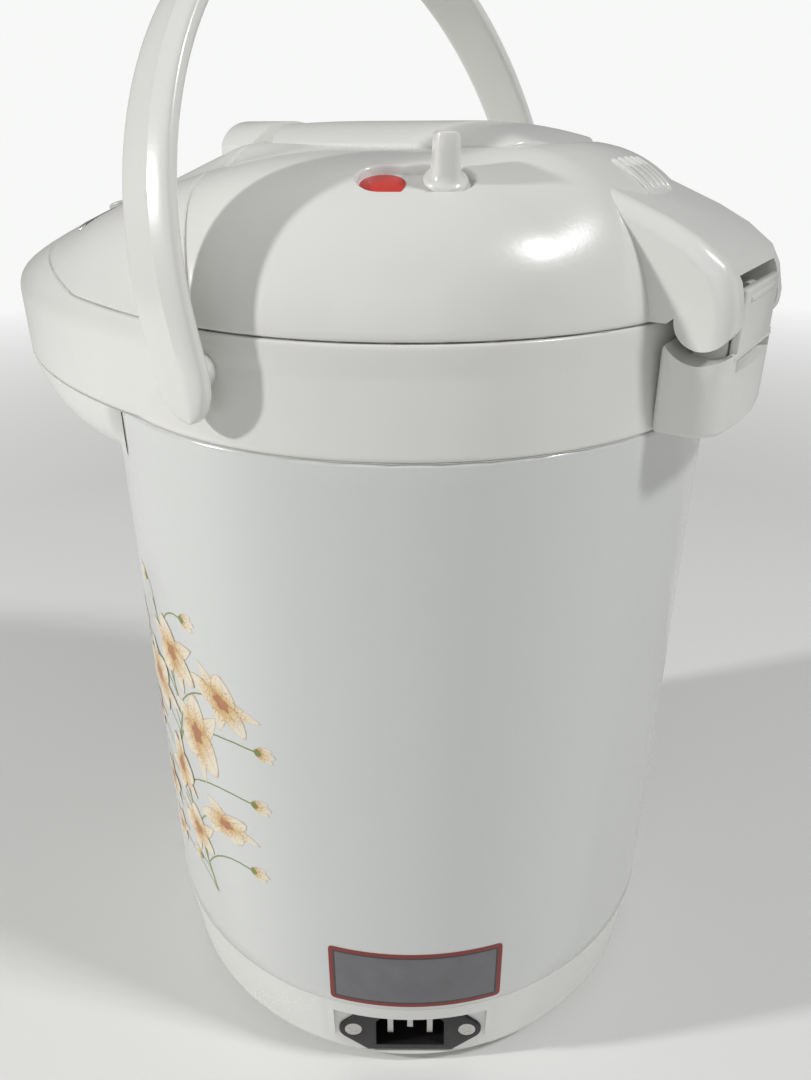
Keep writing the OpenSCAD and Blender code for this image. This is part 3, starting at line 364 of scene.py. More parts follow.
def rayRows(path, count, startEdge, endEdge):
    # one ray of a skin: rolled edge, body, rolled edge; each edge is its radius and wall depth
    body, startR, endR = resample(path, count, startEdge[0], endEdge[0])
    head = rolled(body[0], body[1], startR, startEdge[1], -1)
    tail = rolled(body[-1], body[-2], endR, endEdge[1], 1)
    return head[::-1] + body + tail


def raySkin(name, angles, pathAt, count, startEdge, endEdge, wrap):
    # a skin of rays: pathAt(a) gives its line of r and z from the outer edge to the inner one
    table = [rayRows(pathAt(a), count, startEdge, endEdge) for a in angles]
    rows = len(table[0])

    def place(u, v):
        i, k = round(u * (len(angles) - 1)), round(v * (rows - 1))
        r, z = table[i][k]
        return r * math.cos(angles[i]), r * math.sin(angles[i]), z

    piece = gridPiece(name, len(angles) - 1, rows - 1, place, wrap=wrap)
    return turnOut(piece, skinForm["inside"])


def arcTo(a, low, high, steps=60):
    return [domePoint(a, low + (high - low) * i / steps) for i in range(steps + 1)]


def spread(first, last, count):
    return [math.radians(first + (last - first) * i / count) for i in range(count + 1)]


# ---- materials ----

class Wire:
    # a socket with arithmetic: an expression on values adds its Math nodes
    def __init__(self, nodes, socket):
        self.nodes, self.socket = nodes, socket

    def math(self, operation, *others, clamp=False):
        node = self.nodes.nodes.new("ShaderNodeMath")
        node.operation, node.use_clamp = operation, clamp
        for slotInput, value in zip(node.inputs, (self,) + others):
            if isinstance(value, Wire):
                self.nodes.links.new(value.socket, slotInput)
            else:
                slotInput.default_value = value
        return Wire(self.nodes, node.outputs[0])

    def __add__(self, other): return self.math("ADD", other)
    def __sub__(self, other): return self.math("SUBTRACT", other)
    def __rsub__(self, other): return self * -1 + other
    def __mul__(self, other): return self.math("MULTIPLY", other)
    def __truediv__(self, other): return self.math("DIVIDE", other)
    def __gt__(self, other): return self.math("GREATER_THAN", other)
    def __lt__(self, other): return self.math("LESS_THAN", other)
    def absolute(self): return self.math("ABSOLUTE")
    def clamped(self): return self.math("ADD", 0.0, clamp=True)


class Finish:
    # one material and the few ways of adding nodes to it
    def __init__(self, name, colour, roughness, metallic=0.0, **constants):
        self.material = bpy.data.materials.new(name)
        self.material.use_nodes = True
        self.tree = self.material.node_tree
        self.shader = self.tree.nodes["Principled BSDF"]
        self.shader.inputs["Base Color"].default_value = (*colour, 1)
        self.shader.inputs["Roughness"].default_value = roughness
        self.shader.inputs["Metallic"].default_value = metallic
        for key, value in constants.items():
            self.shader.inputs[key].default_value = value

    def add(self, kind, settings=None, **inputs):
        node = self.tree.nodes.new(kind)
        for key, value in (settings or {}).items():
            setattr(node, key, value)
        for key, value in inputs.items():
            self.feed(node.inputs[key.replace("_", " ")], value)
        return node

    def feed(self, socket, value):
        if isinstance(value, Wire):
            self.tree.links.new(value.socket, socket)
        elif isinstance(value, bpy.types.NodeSocket):
            self.tree.links.new(value, socket)
        else:
            socket.default_value = value

    def wire(self, socket):
        return Wire(self.tree, socket)

    def place(self):
        return self.add("ShaderNodeTexCoord").outputs["Object"]

    def axes(self, vector=None):
        split = self.add("ShaderNodeSeparateXYZ", Vector=vector or self.place())
        return [self.wire(o) for o in split.outputs]

    def printAxes(self):
        # the two directions of a printed sheet, each from 0 to 1
        return self.axes(self.add("ShaderNodeUVMap", {"uv_map": "UVMap"}).outputs["UV"])[:2]

    def noise(self, scale, detail=2.0):
        return self.wire(self.add("ShaderNodeTexNoise", Vector=self.place(), Scale=scale,
                                  Detail=detail).outputs["Fac"])

    def stops(self, value, *points):
        # a ramp from a value: points are place and colour
        ramp = self.add("ShaderNodeValToRGB")
        elements = ramp.color_ramp.elements
        while len(elements) < len(points):
            elements.new(0.5)
        for element, (place, colour) in zip(elements, points):
            element.position, element.color = place, (*colour, 1)
        self.feed(ramp.inputs["Fac"], value)
        return ramp.outputs["Color"]

    def mix(self, share, first, second):
        node = self.tree.nodes.new("ShaderNodeMix")
        node.data_type = "RGBA"
        self.feed(node.inputs["Factor"], share)
        # its colour sockets are the inputs 6 and 7 and the output 2
        for socket, colour in zip(node.inputs[6:8], (first, second)):
            self.feed(socket, (*colour, 1) if isinstance(colour, tuple) else colour)
        return node.outputs[2]

    def bump(self, height, distance):
        node = self.add("ShaderNodeBump", Height=height, Distance=distance)
        self.tree.links.new(node.outputs["Normal"], self.shader.inputs["Normal"])

    def set(self, name, value):
        self.feed(self.shader.inputs[name], value)


def tint(colour, factor):
    return tuple(min(c * factor, 1) for c in colour)


def plastic(name, colour, roughness, grain=0.00002, coat=0.0):
    # moulded plastic: faint cloudiness in colour and gloss, and a very fine skin
    f = Finish(name, colour, roughness)
    f.set("Coat Weight", coat)
    f.set("Coat Roughness", 0.06)
    cloud = f.noise(18, 3)
    fine = f.noise(900, 2)
    share = (cloud - 0.35).math("MULTIPLY", 2.2, clamp=True)
    f.set("Base Color", f.mix(share, tint(colour, 0.965), tint(colour, 1.02)))
    f.set("Roughness", cloud * 0.07 + (roughness - 0.035) + fine * 0.03)
    f.bump(fine + cloud * 2, grain)
    return f.material


def metal(name, colour, roughness, brushed=0.0):
    # bare metal: fine drawn lines along the piece, smudges in the gloss
    f = Finish(name, colour, roughness, 1.0)
    smudge = f.noise(60, 4)
    lines = f.wire(f.add("ShaderNodeTexNoise", Scale=1.0, Detail=3.0, Vector=f.add(
        "ShaderNodeMapping", Vector=f.place(), Scale=(900, 900, 60)).outputs["Vector"]).outputs["Fac"])
    f.set("Base Color", f.mix(smudge, tint(colour, 0.86), tint(colour, 1.06)))
    f.set("Roughness", (smudge * 0.22 + (roughness - 0.1) + lines * brushed).clamped())
    f.bump(lines, 0.00003 if brushed else 0.00001)
    return f.material


def clearPlastic(name, colour):
    f = Finish(name, colour, 0.08, 0.0, IOR=1.49)
    f.set("Transmission Weight", 0.9)
    cloud = f.noise(40, 2)
    f.set("Roughness", cloud * 0.08 + 0.04)
    f.bump(cloud, 0.00003)
    return f.material


def paintedCase(name, colour):
    # gloss white enamel on steel: slight orange peel, and painted shade that makes it a little darker
    # towards the foot
    f = Finish(name, colour, 0.16)
    f.set("Coat Weight", 0.4)
    f.set("Coat Roughness", 0.08)
    peel = f.noise(420, 2)
    broad = f.noise(9, 2)
    # painted shade: the colour darkens below a height of 75 mm, more so towards the foot, mixed with a
    # broad random tone
    low = ((f.axes()[2] * -1 + 0.075) * 14).clamped()
    f.set("Base Color", f.mix(low * 0.35 + broad * 0.3, tint(colour, 1.01), tint(colour, 0.95)))
    f.set("Roughness", broad * 0.08 + 0.15 + peel * 0.03)
    f.bump(peel + broad * 3, 0.00006)
    return f.material


# the finish of every slot
finishes = {"shell": plastic("shellPlastic", (0.80, 0.80, 0.775), 0.24, coat=0.35),
            "case_paint": paintedCase("casePaint", (0.70, 0.715, 0.70)),
            "button": plastic("buttonPlastic", (0.62, 0.62, 0.6), 0.32),
            "black": plastic("blackPlastic", (0.014, 0.014, 0.015), 0.42, 0.00006),
            "red": plastic("redEnamel", (0.62, 0.04, 0.03), 0.3),
            "silicone": plastic("siliconeRubber", (0.78, 0.76, 0.70), 0.55, 0.00005),
            "foot": plastic("footRubber", (0.32, 0.32, 0.31), 0.75, 0.0001),
            "panel": plastic("darkPanel", (0.045, 0.055, 0.05), 0.12, 0.000008, coat=0.6),
            "board": plastic("circuitBoard", (0.03, 0.16, 0.06), 0.4),
            "motor": metal("motorCan", (0.30, 0.31, 0.32), 0.4),
            "steel": metal("polishedSteel", (0.62, 0.61, 0.59), 0.22, 0.08),
            "zinc": metal("zincPlate", (0.55, 0.56, 0.55), 0.36, 0.05),
            "clear": clearPlastic("clearWindow", (0.86, 0.93, 0.93)),
            "amber": clearPlastic("amberLens", (0.9, 0.42, 0.08))}
print("materials made")


# ---- the head: collar, front cover and lid as fine skins over the model's own inner walls ----

skinForm = {"edge": 0.8, "wallDepth": 2.6, "seamLift": 0.3, "lidGap": 0.2, "columns": 360,
            "rows": 44, "near": 0.9, "drawnIn": 0.7, "noseHalf": 27.3, "inside": (0, -10, 240)}


def nearSkin(centre, normal):
    # is this face part of the head's outer surface?
    reach = skinForm["near"]
    x, y, z = centre
    if z < headForm["caseTop"] + 0.01:
        return False
    a = math.atan2(y, x)
    if z < wallZ + 0.5:
        return abs(headR(a, z) - math.hypot(x, y)) < reach and abs(normal.z) < 0.5 \
            and normal.x * math.cos(a) + normal.y * math.sin(a) > 0.5
    if math.hypot(x, y) > headR(a, wallZ):
        return False
    gap = headZ(x, y) - z
    size = max(normal.z, 0.12)
    side = normal.x * math.cos(a) + normal.y * math.sin(a)
    return -0.6 < gap * size < reach and (normal.z > 0.3 or side > 0.5)


def shrinkRim(piece):
    # points still on the outer surface are drawn in, behind the rolled edges of the skin
    amount = skinForm["drawnIn"]
    for point in piece.data.vertices:
        x, y, z = point.co / mm
        r, a = math.hypot(x, y), math.atan2(y, x)
        if z < headForm["caseTop"] + 0.01 or r > headR(a, min(z, wallZ)) + 0.3:
            continue
        out = False
        if z < wallZ + 1:
            out = headR(a, z) - r < 0.35
        if not out and z >= wallZ and r < headR(a, wallZ):
            out = abs(headZ(x, y) - z) < 0.5
        if out:
            inwards = (math.cos(a), math.sin(a), 0.6)
            point.co = (Vector((x, y, z)) - amount * Vector(inwards)) * mm
    return piece


def seamAt(a, lift=0.0):
    return whereOnDome(a, lambda x, y, z: z >= seamZ(y) + lift)


# the handle's pivot bosses; the model's own, further out than solidX, are taken off
pivotForm = {"r": 4.2, "long": 7.6, "x": 94.2, "z": 250, "edge": 0.4, "solidX": 93.1, "solidR": 8.3}
collarForm = {"rows": 34, "footEdge": (1.2, 3), "wallSteps": 10, "domeFrom": 0.02}


def makeCollar():
    f, p = collarForm, pivotForm

    def path(a):
        heights = [headForm["caseTop"] + headForm["wallRise"] * i / f["wallSteps"]
                   for i in range(f["wallSteps"] + 1)]
        return [(headR(a, z), z) for z in heights] + arcTo(a, f["domeFrom"], seamAt(a))

    skin = raySkin("collarSkin", spread(0, 360, skinForm["columns"]), path, f["rows"],
                   f["footEdge"], (skinForm["edge"], skinForm["wallDepth"]), True)
    inside = nodeCopy("collar", "collar")
    dropFaces(inside, lambda c, n: nearSkin(c, n) or abs(c.x) > p["solidX"]
              and math.hypot(c.y, c.z - p["z"]) < p["solidR"])
    shrinkRim(inside)
    bosses = [rodPiece("boss", p["r"], p["long"], (side * p["x"], 0, p["z"]), (0, 90, 0), 48, p["edge"])
              for side in (-1, 1)]
    finishPiece(joinPieces(inside, skin, *bosses), "pot", "shell", ["collar"])


# its span in plan, the latch's pocket in it, and the wall below its seam and below the lid's edge
coverForm = {"from": 181.7, "to": 358.3, "columns": 240, "rows": 40, "latchX": 21.4, "latchY": -66,
             "lidDepth": 3.2, "least": 0.004}


def makeHeadCover():
    f = coverForm

    def path(a):
        low = seamAt(a, skinForm["seamLift"])
        high = whereOnDome(a, lambda x, y, z: insideLid(x, y, skinForm["lidGap"]))
        return arcTo(a, low, max(high, low + f["least"]))

    skin = raySkin("headCoverSkin", spread(f["from"], f["to"], f["columns"]), path, f["rows"],
                   (skinForm["edge"], skinForm["wallDepth"]), (skinForm["edge"], f["lidDepth"]), False)
    steps = []
    for where, facing in (((-f["latchX"], 0, 0), (1, 0, 0)), ((f["latchX"], 0, 0), (1, 0, 0)),
                          ((0, f["latchY"], 0), (0, 1, 0))):
        steps += [selectAll(), (bpy.ops.mesh.bisect, {"plane_co": Vector(where) * mm, "plane_no": facing})]
    onMesh(skin, *steps)
    dropFaces(skin, lambda c, n: abs(c.x) < f["latchX"] and c.y > f["latchY"])
    inside = nodeCopy("head_cover", "headCover")
    dropFaces(inside, nearSkin)
    shrinkRim(inside)
    finishPiece(joinPieces(inside, skin), "pot", "shell", ["head_cover"])


slotForm = {"r": 65.5, "half": 6, "from": 27.2, "to": 41.3, "floor": 288, "above": 270, "edge": 0.8,
            "cusp": 0.9, "cuspAt": 34.2, "cuspWide": 1.6, "deep": 2.1, "step": 1.2, "steps": 120,
            "discR": 5.6, "discT": 0.15}


def slotPlace(x, y):
    # the nearest point of the slot's middle line, and the distance from it
    a = math.degrees(math.atan2(y, x))
    a = math.radians(min(max(a, slotForm["from"]), slotForm["to"]))
    c = (slotForm["r"] * math.cos(a), slotForm["r"] * math.sin(a))
    return c, math.hypot(x - c[0], y - c[1])


def slotOutline(share):
    # a point of the slot's centre line and the way out of it, going once round
    s = slotForm
    span = math.radians(s["to"] - s["from"])
    outer, inner = span * (s["r"] + s["half"]), span * (s["r"] - s["half"])
    end = math.pi * s["half"]
    d = share * (outer + inner + 2 * end)
    first, last = math.radians(s["from"]), math.radians(s["to"])
    if d < outer:
        a = first + span * d / outer
        turn = a
    elif d < outer + end:
        a, turn = last, last + math.pi * (d - outer) / end
    elif d < outer + end + inner:
        a = last - span * (d - outer - end) / inner
        turn = a + math.pi
    else:
        a, turn = first, first + math.pi + math.pi * (d - outer - end - inner) / end
    return (s["r"] * math.cos(a), s["r"] * math.sin(a)), (math.cos(turn), math.sin(turn)), a, turn


def makeLidShell():
    gap = skinForm["lidGap"]

    def path(a):
        low = max(seamAt(a, 0.4), whereOnDome(a, lambda x, y, z: insideLid(x, y, -gap)))
        high = whereOnDome(a, lambda x, y, z: insidePlate(x, y, 0.4))
        return arcTo(a, low, high)

    skin = raySkin("lidSkin", spread(0, 360, skinForm["columns"]), path, skinForm["rows"],
                   (skinForm["edge"], 3), (skinForm["edge"], 6), True)
    rim = slotForm["half"] + slotForm["edge"]
    dropFaces(skin, lambda c, n: slotPlace(c.x, c.y)[1] < rim and c.z > slotForm["above"])
    work = bmesh.new()
    work.from_mesh(skin.data)
    for point in work.verts:
        x, y, z = point.co / mm
        centre, d = slotPlace(x, y)
        if point.is_boundary and d < rim + 2.4 and z > slotForm["above"]:
            x, y = [c + (p - c) * rim / max(d, 0.01) for c, p in zip(centre, (x, y))]
            point.co = Vector((x, y, headZ(x, y))) * mm
    work.to_mesh(skin.data)
    work.free()

    def slotWall(u, v):
        centre, out, a, turn = slotOutline(u)
        k = round(v * 8)
        if k < 4:
            # the rolled edge
            angle = math.radians(90 * k / 3)
            d = rim - slotForm["edge"] * math.sin(angle)
            down = slotForm["edge"] * (1 - math.cos(angle))
        else:
            # the wall, with the cusp half way along its inner side
            off = (math.degrees(a) - slotForm["cuspAt"]) / slotForm["cuspWide"]
            cusp = slotForm["cusp"] * math.exp(-off ** 2) if abs(turn - a - math.pi) < 0.01 else 0
            d = slotForm["half"] - cusp * (k - 3) / 5
            down = slotForm["edge"] + (k - 3) * slotForm["step"]
        x, y = centre[0] + out[0] * d, centre[1] + out[1] * d
        onTop = headZ(centre[0] + out[0] * rim, centre[1] + out[1] * rim)
        return x, y, max(onTop - down, slotForm["floor"] - 0.1)

    def slotFloor(u, v):
        centre, out = slotOutline(u)[:2]
        x, y = [c + o * (slotForm["half"] + 0.3) * v for c, o in zip(centre, out)]
        return x, y, headZ(x, y) - slotForm["deep"]

    wall = gridPiece("slotWall", slotForm["steps"], 8, slotWall, wrap=True)
    floor = gridPiece("slotFloor", slotForm["steps"], 6, slotFloor, wrap=True)
    turnOut(floor, (50, 30, 200))
    inside = nodeCopy("lid_shell", "lidShell")

    def gone(c, n):
        onNose = c.y > 60 and abs(c.x) < skinForm["noseHalf"] \
            and (math.hypot(c.x, c.y) > 90 or c.z > headZ(c.x, c.y) - 0.5)
        onSlot = abs(slotPlace(c.x, c.y)[1] - slotForm["half"]) < 0.25 \
            and c.z > slotForm["floor"] + 0.2
        return nearSkin(c, n) or onNose or onSlot

    dropFaces(inside, gone)
    shrinkRim(inside)
    finishPiece(joinPieces(inside, skin, wall, floor), "lid", "shell", ["lid_shell"])


# rows: size along and across, squareness, height over the sloping base or else below the top
knobForm = {"angle": 40.5, "sweep": -13.3, "clear": 0.35, "top": 303, "baseR": 5.4, "steps": 72,
            "rows": [(0, 0, 2, 0, None), (0.94, 0.94, 2, 0, None), (1, 1, 2, 0.3, None),
                     (1, 1, 2, 1.1, None), (0.96, 0.95, 2, 1.5, None), (0.88, 0.82, 2.4, 1.75, None),
                     (0.82, 0.68, 2.8, 2.4, None), (0.80, 0.61, 3.4, 3.6, None),
                     (0.80, 0.585, 4, None, 5.5), (0.79, 0.575, 4, None, 3.5),
                     (0.775, 0.56, 4, None, 1.3), (0.74, 0.53, 4, None, 0.5),
                     (0.65, 0.44, 3.4, None, 0.1), (0.5, 0.3, 3, None, 0), (0, 0, 2, None, 0)]}


def turnedAt(x, y, degrees):
    c, d = math.cos(math.radians(degrees)), math.sin(math.radians(degrees))
    return x * c - y * d, x * d + y * c


def makeMarker():
    # the red disc lies on the sloping floor at the locked end
    a = math.radians(slotForm["from"])
    cx, cy = slotForm["r"] * math.cos(a), slotForm["r"] * math.sin(a)
    rows = [(0, 0), (1, 0), (1, 0.7), (0.96, 1), (0, 1)]

    def place(u, v):
        share, up = rows[round(v * 4)]
        t = 2 * math.pi * u
        x, y = [c + slotForm["discR"] * share * w for c, w in ((cx, math.cos(t)), (cy, math.sin(t)))]
        return x, y, headZ(x, y) - slotForm["deep"] + slotForm["discT"] * up

    disc = cleanUp(gridPiece("lockMarkerPiece", 64, 4, place, wrap=True))
    finishPiece(disc, "lid", "red", ["lock_marker"])


def makeKnob():
    f = knobForm
    cx, cy = turnedAt(slotForm["r"], 0, f["angle"])

    def under(x, y):
        # clear of the floor here and all along its travel
        sweep = [turnedAt(x, y, f["sweep"] * i / 4) for i in range(5)]
        return max(headZ(*p) for p in sweep) - slotForm["deep"] + f["clear"]

    last = len(f["rows"]) - 1

    def place(u, v):
        along, wide, square, over, below = f["rows"][round(v * last)]
        t = 2 * math.pi * u
        c, d = math.cos(t), math.sin(t)
        px = f["baseR"] * along * math.copysign(abs(c) ** (2 / square), c)
        py = f["baseR"] * wide * math.copysign(abs(d) ** (2 / square), d)
        x, y = turnedAt(px, py, f["angle"])
        x, y = cx + x, cy + y
        return x, y, (under(x, y) + over if below is None else f["top"] - below)

    knob = cleanUp(gridPiece("lockKnobPiece", f["steps"], last, place, wrap=True))
    finishPiece(knob, "lock_knob", "shell", ["lock_knob"])


for make in (makeCollar, makeHeadCover, makeLidShell, makeMarker, makeKnob):
    make()
print("head skins made")


# ---- hinge nose, bracket and release ----

noseForm = {"half": 27, "round": 5, "y": 101.5, "z": 261.5, "centreCut": 18.2, "cutR": 11,
            "knuckleR": 7.3, "windowHigh": 7.6, "foot": -14,
            "top": [(-43.4, 36), (-29.1, 29.3), (-12.9, 22.8), (-4.4, 18.5), (2.8, 13.2), (5.6, 8.3),
                    (7.3, 1.5)],
            "low": [(-9, -1.4), (-60, -1.4)], "front": -46,
            "ribs": 5, "ribPitch": 4.4, "ribFrom": 67.5, "ribLong": 11.5, "ribHigh": 0.8, "ribHalf": 0.8}


def roundCorners(points, passes):
    # corner cutting round a closed outline
    for _ in range(passes):
        out = []
        for (ax, ay), (bx, by) in zip(points, points[1:] + points[:1]):
            out += [(ax + (bx - ax) * share, ay + (by - ay) * share) for share in (0.25, 0.75)]
        points = out
    return points


def prismPiece(name, outline, low, high, toPoint):
    # a closed straight solid from an outline, laid in space by toPoint
    n = len(outline)

    def place(u, v):
        return toPoint(*outline[round(u * n) % n], high if v > 0.5 else low)

    return gridPiece(name, n, 1, place, wrap=True, capEnds=True)


def makeNose():
    f = noseForm
    y0, z0, r = f["y"], f["z"], f["knuckleR"]

    def toPoint(y, z, x):
        return x, y0 + y, z0 + z

    # the tapered nose with its rounded sides, then all below the knuckles is cut away
    outline = f["top"] + [(r, f["foot"]), (f["front"], f["foot"])]
    nose = prismPiece("hingeNose", outline, -f["half"], f["half"], toPoint)
    rimBevel(nose, f["round"], 8, 75)
    knuckle = [(r * math.cos(t), r * math.sin(t)) for t in spread(0, -180, 18)]
    under = [(25, 0.4), (r + 0.4, 0.4)] + [(y * 1.001, z) for y, z in knuckle] + f["low"]
    under += [(-60, -30), (25, -30)]
    cutAway(nose, prismPiece("cut", under, -35, 35, toPoint))
    cutAway(nose, rodPiece("cut", f["cutR"], 2 * f["centreCut"], (0, y0, z0), (0, 90, 0), 72))
    # the release plate's window
    cutAway(nose, boxPiece("cut", (-f["centreCut"], y0 + 0.01, 240),
                           (f["centreCut"], 130, z0 + f["windowHigh"]), 0.6))
    # raised ribs along the top, as thin rounded strips on the dome and the nose alike
    ribs = []
    for i in range(f["ribs"]):
        x = (i - (f["ribs"] - 1) / 2) * f["ribPitch"]

        def ribPlace(u, v, x=x):
            y = f["ribFrom"] + f["ribLong"] * v
            end = math.sqrt(max(1 - (2 * v - 1) ** 8, 0))
            z = max(noseTop(y), headZ(x, y)) - 0.1 + f["ribHigh"] * math.sin(math.pi * u) * end
            return x - f["ribHalf"] * math.cos(math.pi * u) * end, y, z

        ribs.append(turnOut(gridPiece("rib", 8, 24, ribPlace), (x, y0 - 30, 250)))
    finishPiece(joinPieces(nose, *ribs), "lid", "shell", ["hinge_nose"])


def noseTop(y):
    points = [(noseForm["y"] + a, noseForm["z"] + b) for a, b in noseForm["top"]]
    for (ya, za), (yb, zb) in zip(points, points[1:]):
        if ya <= y <= yb:
            return za + (zb - za) * (y - ya) / (yb - ya)
    return points[-1][1]


bracketForm = {"half": 27, "r": 110, "low": 232, "high": 255, "corner": 9, "edge": 1.4,
               "slotHalf": 17.8, "slotY": 106.1, "slotZ": 248, "lugIn": 11, "lugOut": 17, "lugR": 4.3,
               "lugFoot": 250, "back": 92}
releaseForm = {"tab": ((-17.4, 106.2, 251.5), (17.4, 108.6, 268.2), 0.7),
               "rib": ((-13, 108.2, 264.8), (13, 109.1, 266.2), 0.4),
               "foot": (1.2, 38.8, (0, 107.4, 251.5), (0, 90, 0), 32)}


def makeBracket():
    f = bracketForm
    side = [(-f["half"], f["back"])]
    inner = f["half"] - f["corner"]
    centreY = math.sqrt(f["r"] ** 2 - inner ** 2) - f["corner"]
    for t in spread(180, 98, 12):
        side.append((-inner + f["corner"] * math.cos(t), centreY + f["corner"] * math.sin(t)))
    rear = [(inner - 2) * (i / 8 - 1) for i in range(17)]
    rear = [(x, math.sqrt(f["r"] ** 2 - x * x)) for x in rear]
    outline = side + rear + [(-x, y) for x, y in reversed(side)]
    bracket = prismPiece("hingeBracket", outline, f["low"], f["high"], lambda *point: point)
    rimBevel(bracket, f["edge"], 4, 65)
    y, z = noseForm["y"], noseForm["z"]
    cutAway(bracket, boxPiece("cut", (-f["slotHalf"], f["slotY"], f["slotZ"]),
                              (f["slotHalf"], 130, 270), 0.5))
    cutAway(bracket, rodPiece("cut", noseForm["cutR"], 2 * f["half"] + 1, (0, y, z), (0, 90, 0), 72))
    wide = f["lugOut"] - f["lugIn"]
    for mirror in (-1, 1):
        middle = mirror * (f["lugIn"] + f["lugOut"]) / 2
        lug = rodPiece("lug", f["lugR"], wide, (middle, y, z), (0, 90, 0), 48, 0.5)
        post = boxPiece("lugPost", (middle - wide / 2, y - f["lugR"], f["lugFoot"]),
                        (middle + wide / 2, y + f["lugR"], z), 0.4)
        joinPieces(bracket, lug, post)
    finishPiece(bracket, "pot", "shell", ["hinge_bracket"])


def makeRelease():
    # the plate, a shallow finger rib across it and the rod that it tilts on
    tab = boxPiece("hingeRelease", *releaseForm["tab"])
    rib = boxPiece("rib", *releaseForm["rib"])
    foot = rodPiece("foot", *releaseForm["foot"])
    finishPiece(joinPieces(tab, rib, foot), "release_tab", "shell", ["hinge_release"])


for make in (makeNose, makeBracket, makeRelease):
    make()
print("hinge made")


# ---- push plate, latch, panel and buttons ----

def plateZ(x, y):
    p = plateForm
    across = p["crownR"] - math.sqrt(p["crownR"] ** 2 - x * x)
    rear = max(y - p["rollStart"], 0) ** 2 / (2 * p["rollR"])
    front = max(p["frontRollStart"] - y, 0) ** 2 / (2 * p["frontRollR"])
    along = max(rear, front)
    return p["top"] - (across + along + math.hypot(across - along, p["blend"])) / 2


def plateEdge(a):
    # distance from the plate's middle to its outline
    low, high = 0.0, 90.0
    for _ in range(26):
        mid = (low + high) / 2
        if insidePlate(mid * math.cos(a), plateForm["middleY"] + mid * math.sin(a)):
            low = mid
        else:
            high = mid
    return low


def makePlate():
    p = plateForm
    count, rows, edge = 240, 34, p["edge"]
    reach = [plateEdge(2 * math.pi * i / count) for i in range(count)]
    # its corners are rounded a little
    for _ in range(3):
        reach = [min(reach[i], (reach[i - 1] + reach[i] + reach[(i + 1) % count]) / 3)
                 for i in range(count)]

    def place(u, v):
        i = round(u * count) % count
        a = 2 * math.pi * i / count

        def at(d):
            return d * math.cos(a), p["middleY"] + d * math.sin(a)

        k = round(v * (rows + 6))
        if k <= rows:
            x, y = at((reach[i] - edge) * math.sin(math.pi / 2 * k / rows))
            return x, y, plateZ(x, y)
        onTop = plateZ(*at(reach[i] - edge))
        if k <= rows + 4:
            # the rolled rim, then the skirt
            turn = math.radians(90 * (k - rows) / 4)
            d = reach[i] - edge + edge * math.sin(turn)
            return *at(d), onTop - edge * (1 - math.cos(turn)) - 0.15 * (k - rows)
        high = (onTop - edge - 0.6 - p["skirt"]) * (0.5 if k == rows + 5 else 0)
        return *at(reach[i]), p["skirt"] + high

    skin = gridPiece("pushPlate", count, rows + 6, place, wrap=True)
    turnOut(skin, (0, p["middleY"], 280))
    applyModifier(skin, "SOLIDIFY", thickness=p["thick"] * mm, offset=-1)
    core = rodPiece("core", p["coreR"], p["coreTop"] - p["coreLow"],
                    (0, p["coreY"], (p["coreTop"] + p["coreLow"]) / 2), bevel=0.5)
    finishPiece(joinPieces(skin, core), "push_plate", "shell", ["push_plate"])


def roundedCopy(node, name, width):
    # the node's own form with its sharp edges rolled over
    piece = nodeCopy(node, name)
    onMesh(piece, (bpy.ops.mesh.dissolve_limited, {"angle_limit": math.radians(1.5)}))
    return rimBevel(piece, width, 3, 40, True)


# steps are how far the panel's front and rear edges are turned down, from the outermost row in
panelForm = {"y": -92, "half": 66, "rear": 76, "front": 109, "lift": 0.12, "gap": 0.15, "side": 0.6,
             "steps": [1.0, 0.45, 0.12], "thick": 0.6, "across": 96, "along": 24}


def makePanel():
    f = panelForm
    r = (f["half"] ** 2 + (f["front"] - f["rear"]) ** 2) / (2 * (f["front"] - f["rear"]))
    last = f["along"]

    def place(u, v):
        x = (2 * u - 1) * (f["half"] - f["side"])
        rear = -f["rear"] - f["gap"]
        front = min(-f["front"] + r - math.sqrt((r - f["gap"]) ** 2 - x * x), rear - 0.05)
        k = round(v * last)
        y = rear + (front - rear) * min(max((k - 3) / (last - 6), 0), 1)
        down = dict(enumerate(f["steps"])).get(min(k, last - k), 0)
        return x, y, headZ(x, y) + f["lift"] - down

    panel = gridPiece("controlPanel", f["across"], last, place)
    turnOut(panel, (0, f["y"], 200))
    applyModifier(panel, "SOLIDIFY", thickness=f["thick"] * mm, offset=-1)
    finishPiece(panel, "pot", "panel", ["control_panel"])


makePlate()
finishPiece(roundedCopy("lid_latch", "lidLatch", 0.9), "latch", "shell", ["lid_latch"])
makePanel()
for node in ("dispense_button", "reboil_button"):
    finishPiece(roundedCopy(node, node + "Cap", 0.5), node, "button", [node])
print("plate, latch and panel made")


# ---- handle ----

handleForm = {"bow": 100.8, "rise": 11.2, "lean": 12.2, "pivot": 250, "endLong": 11.5,
              "endTurns": (86, 80, 70, 58, 45, 30, 15, 0), "bowSteps": 96, "ridge": (2.46, -2.87),
              "section": [(-2.5, -7.0), (-1.3, -8.6), (0.8, -8.6), (1.8, -7.2), (2.5, -2.87),
                          (1.4, 7.2), (0.6, 8.6), (-1.3, 8.6), (-2.5, 7.0)]}


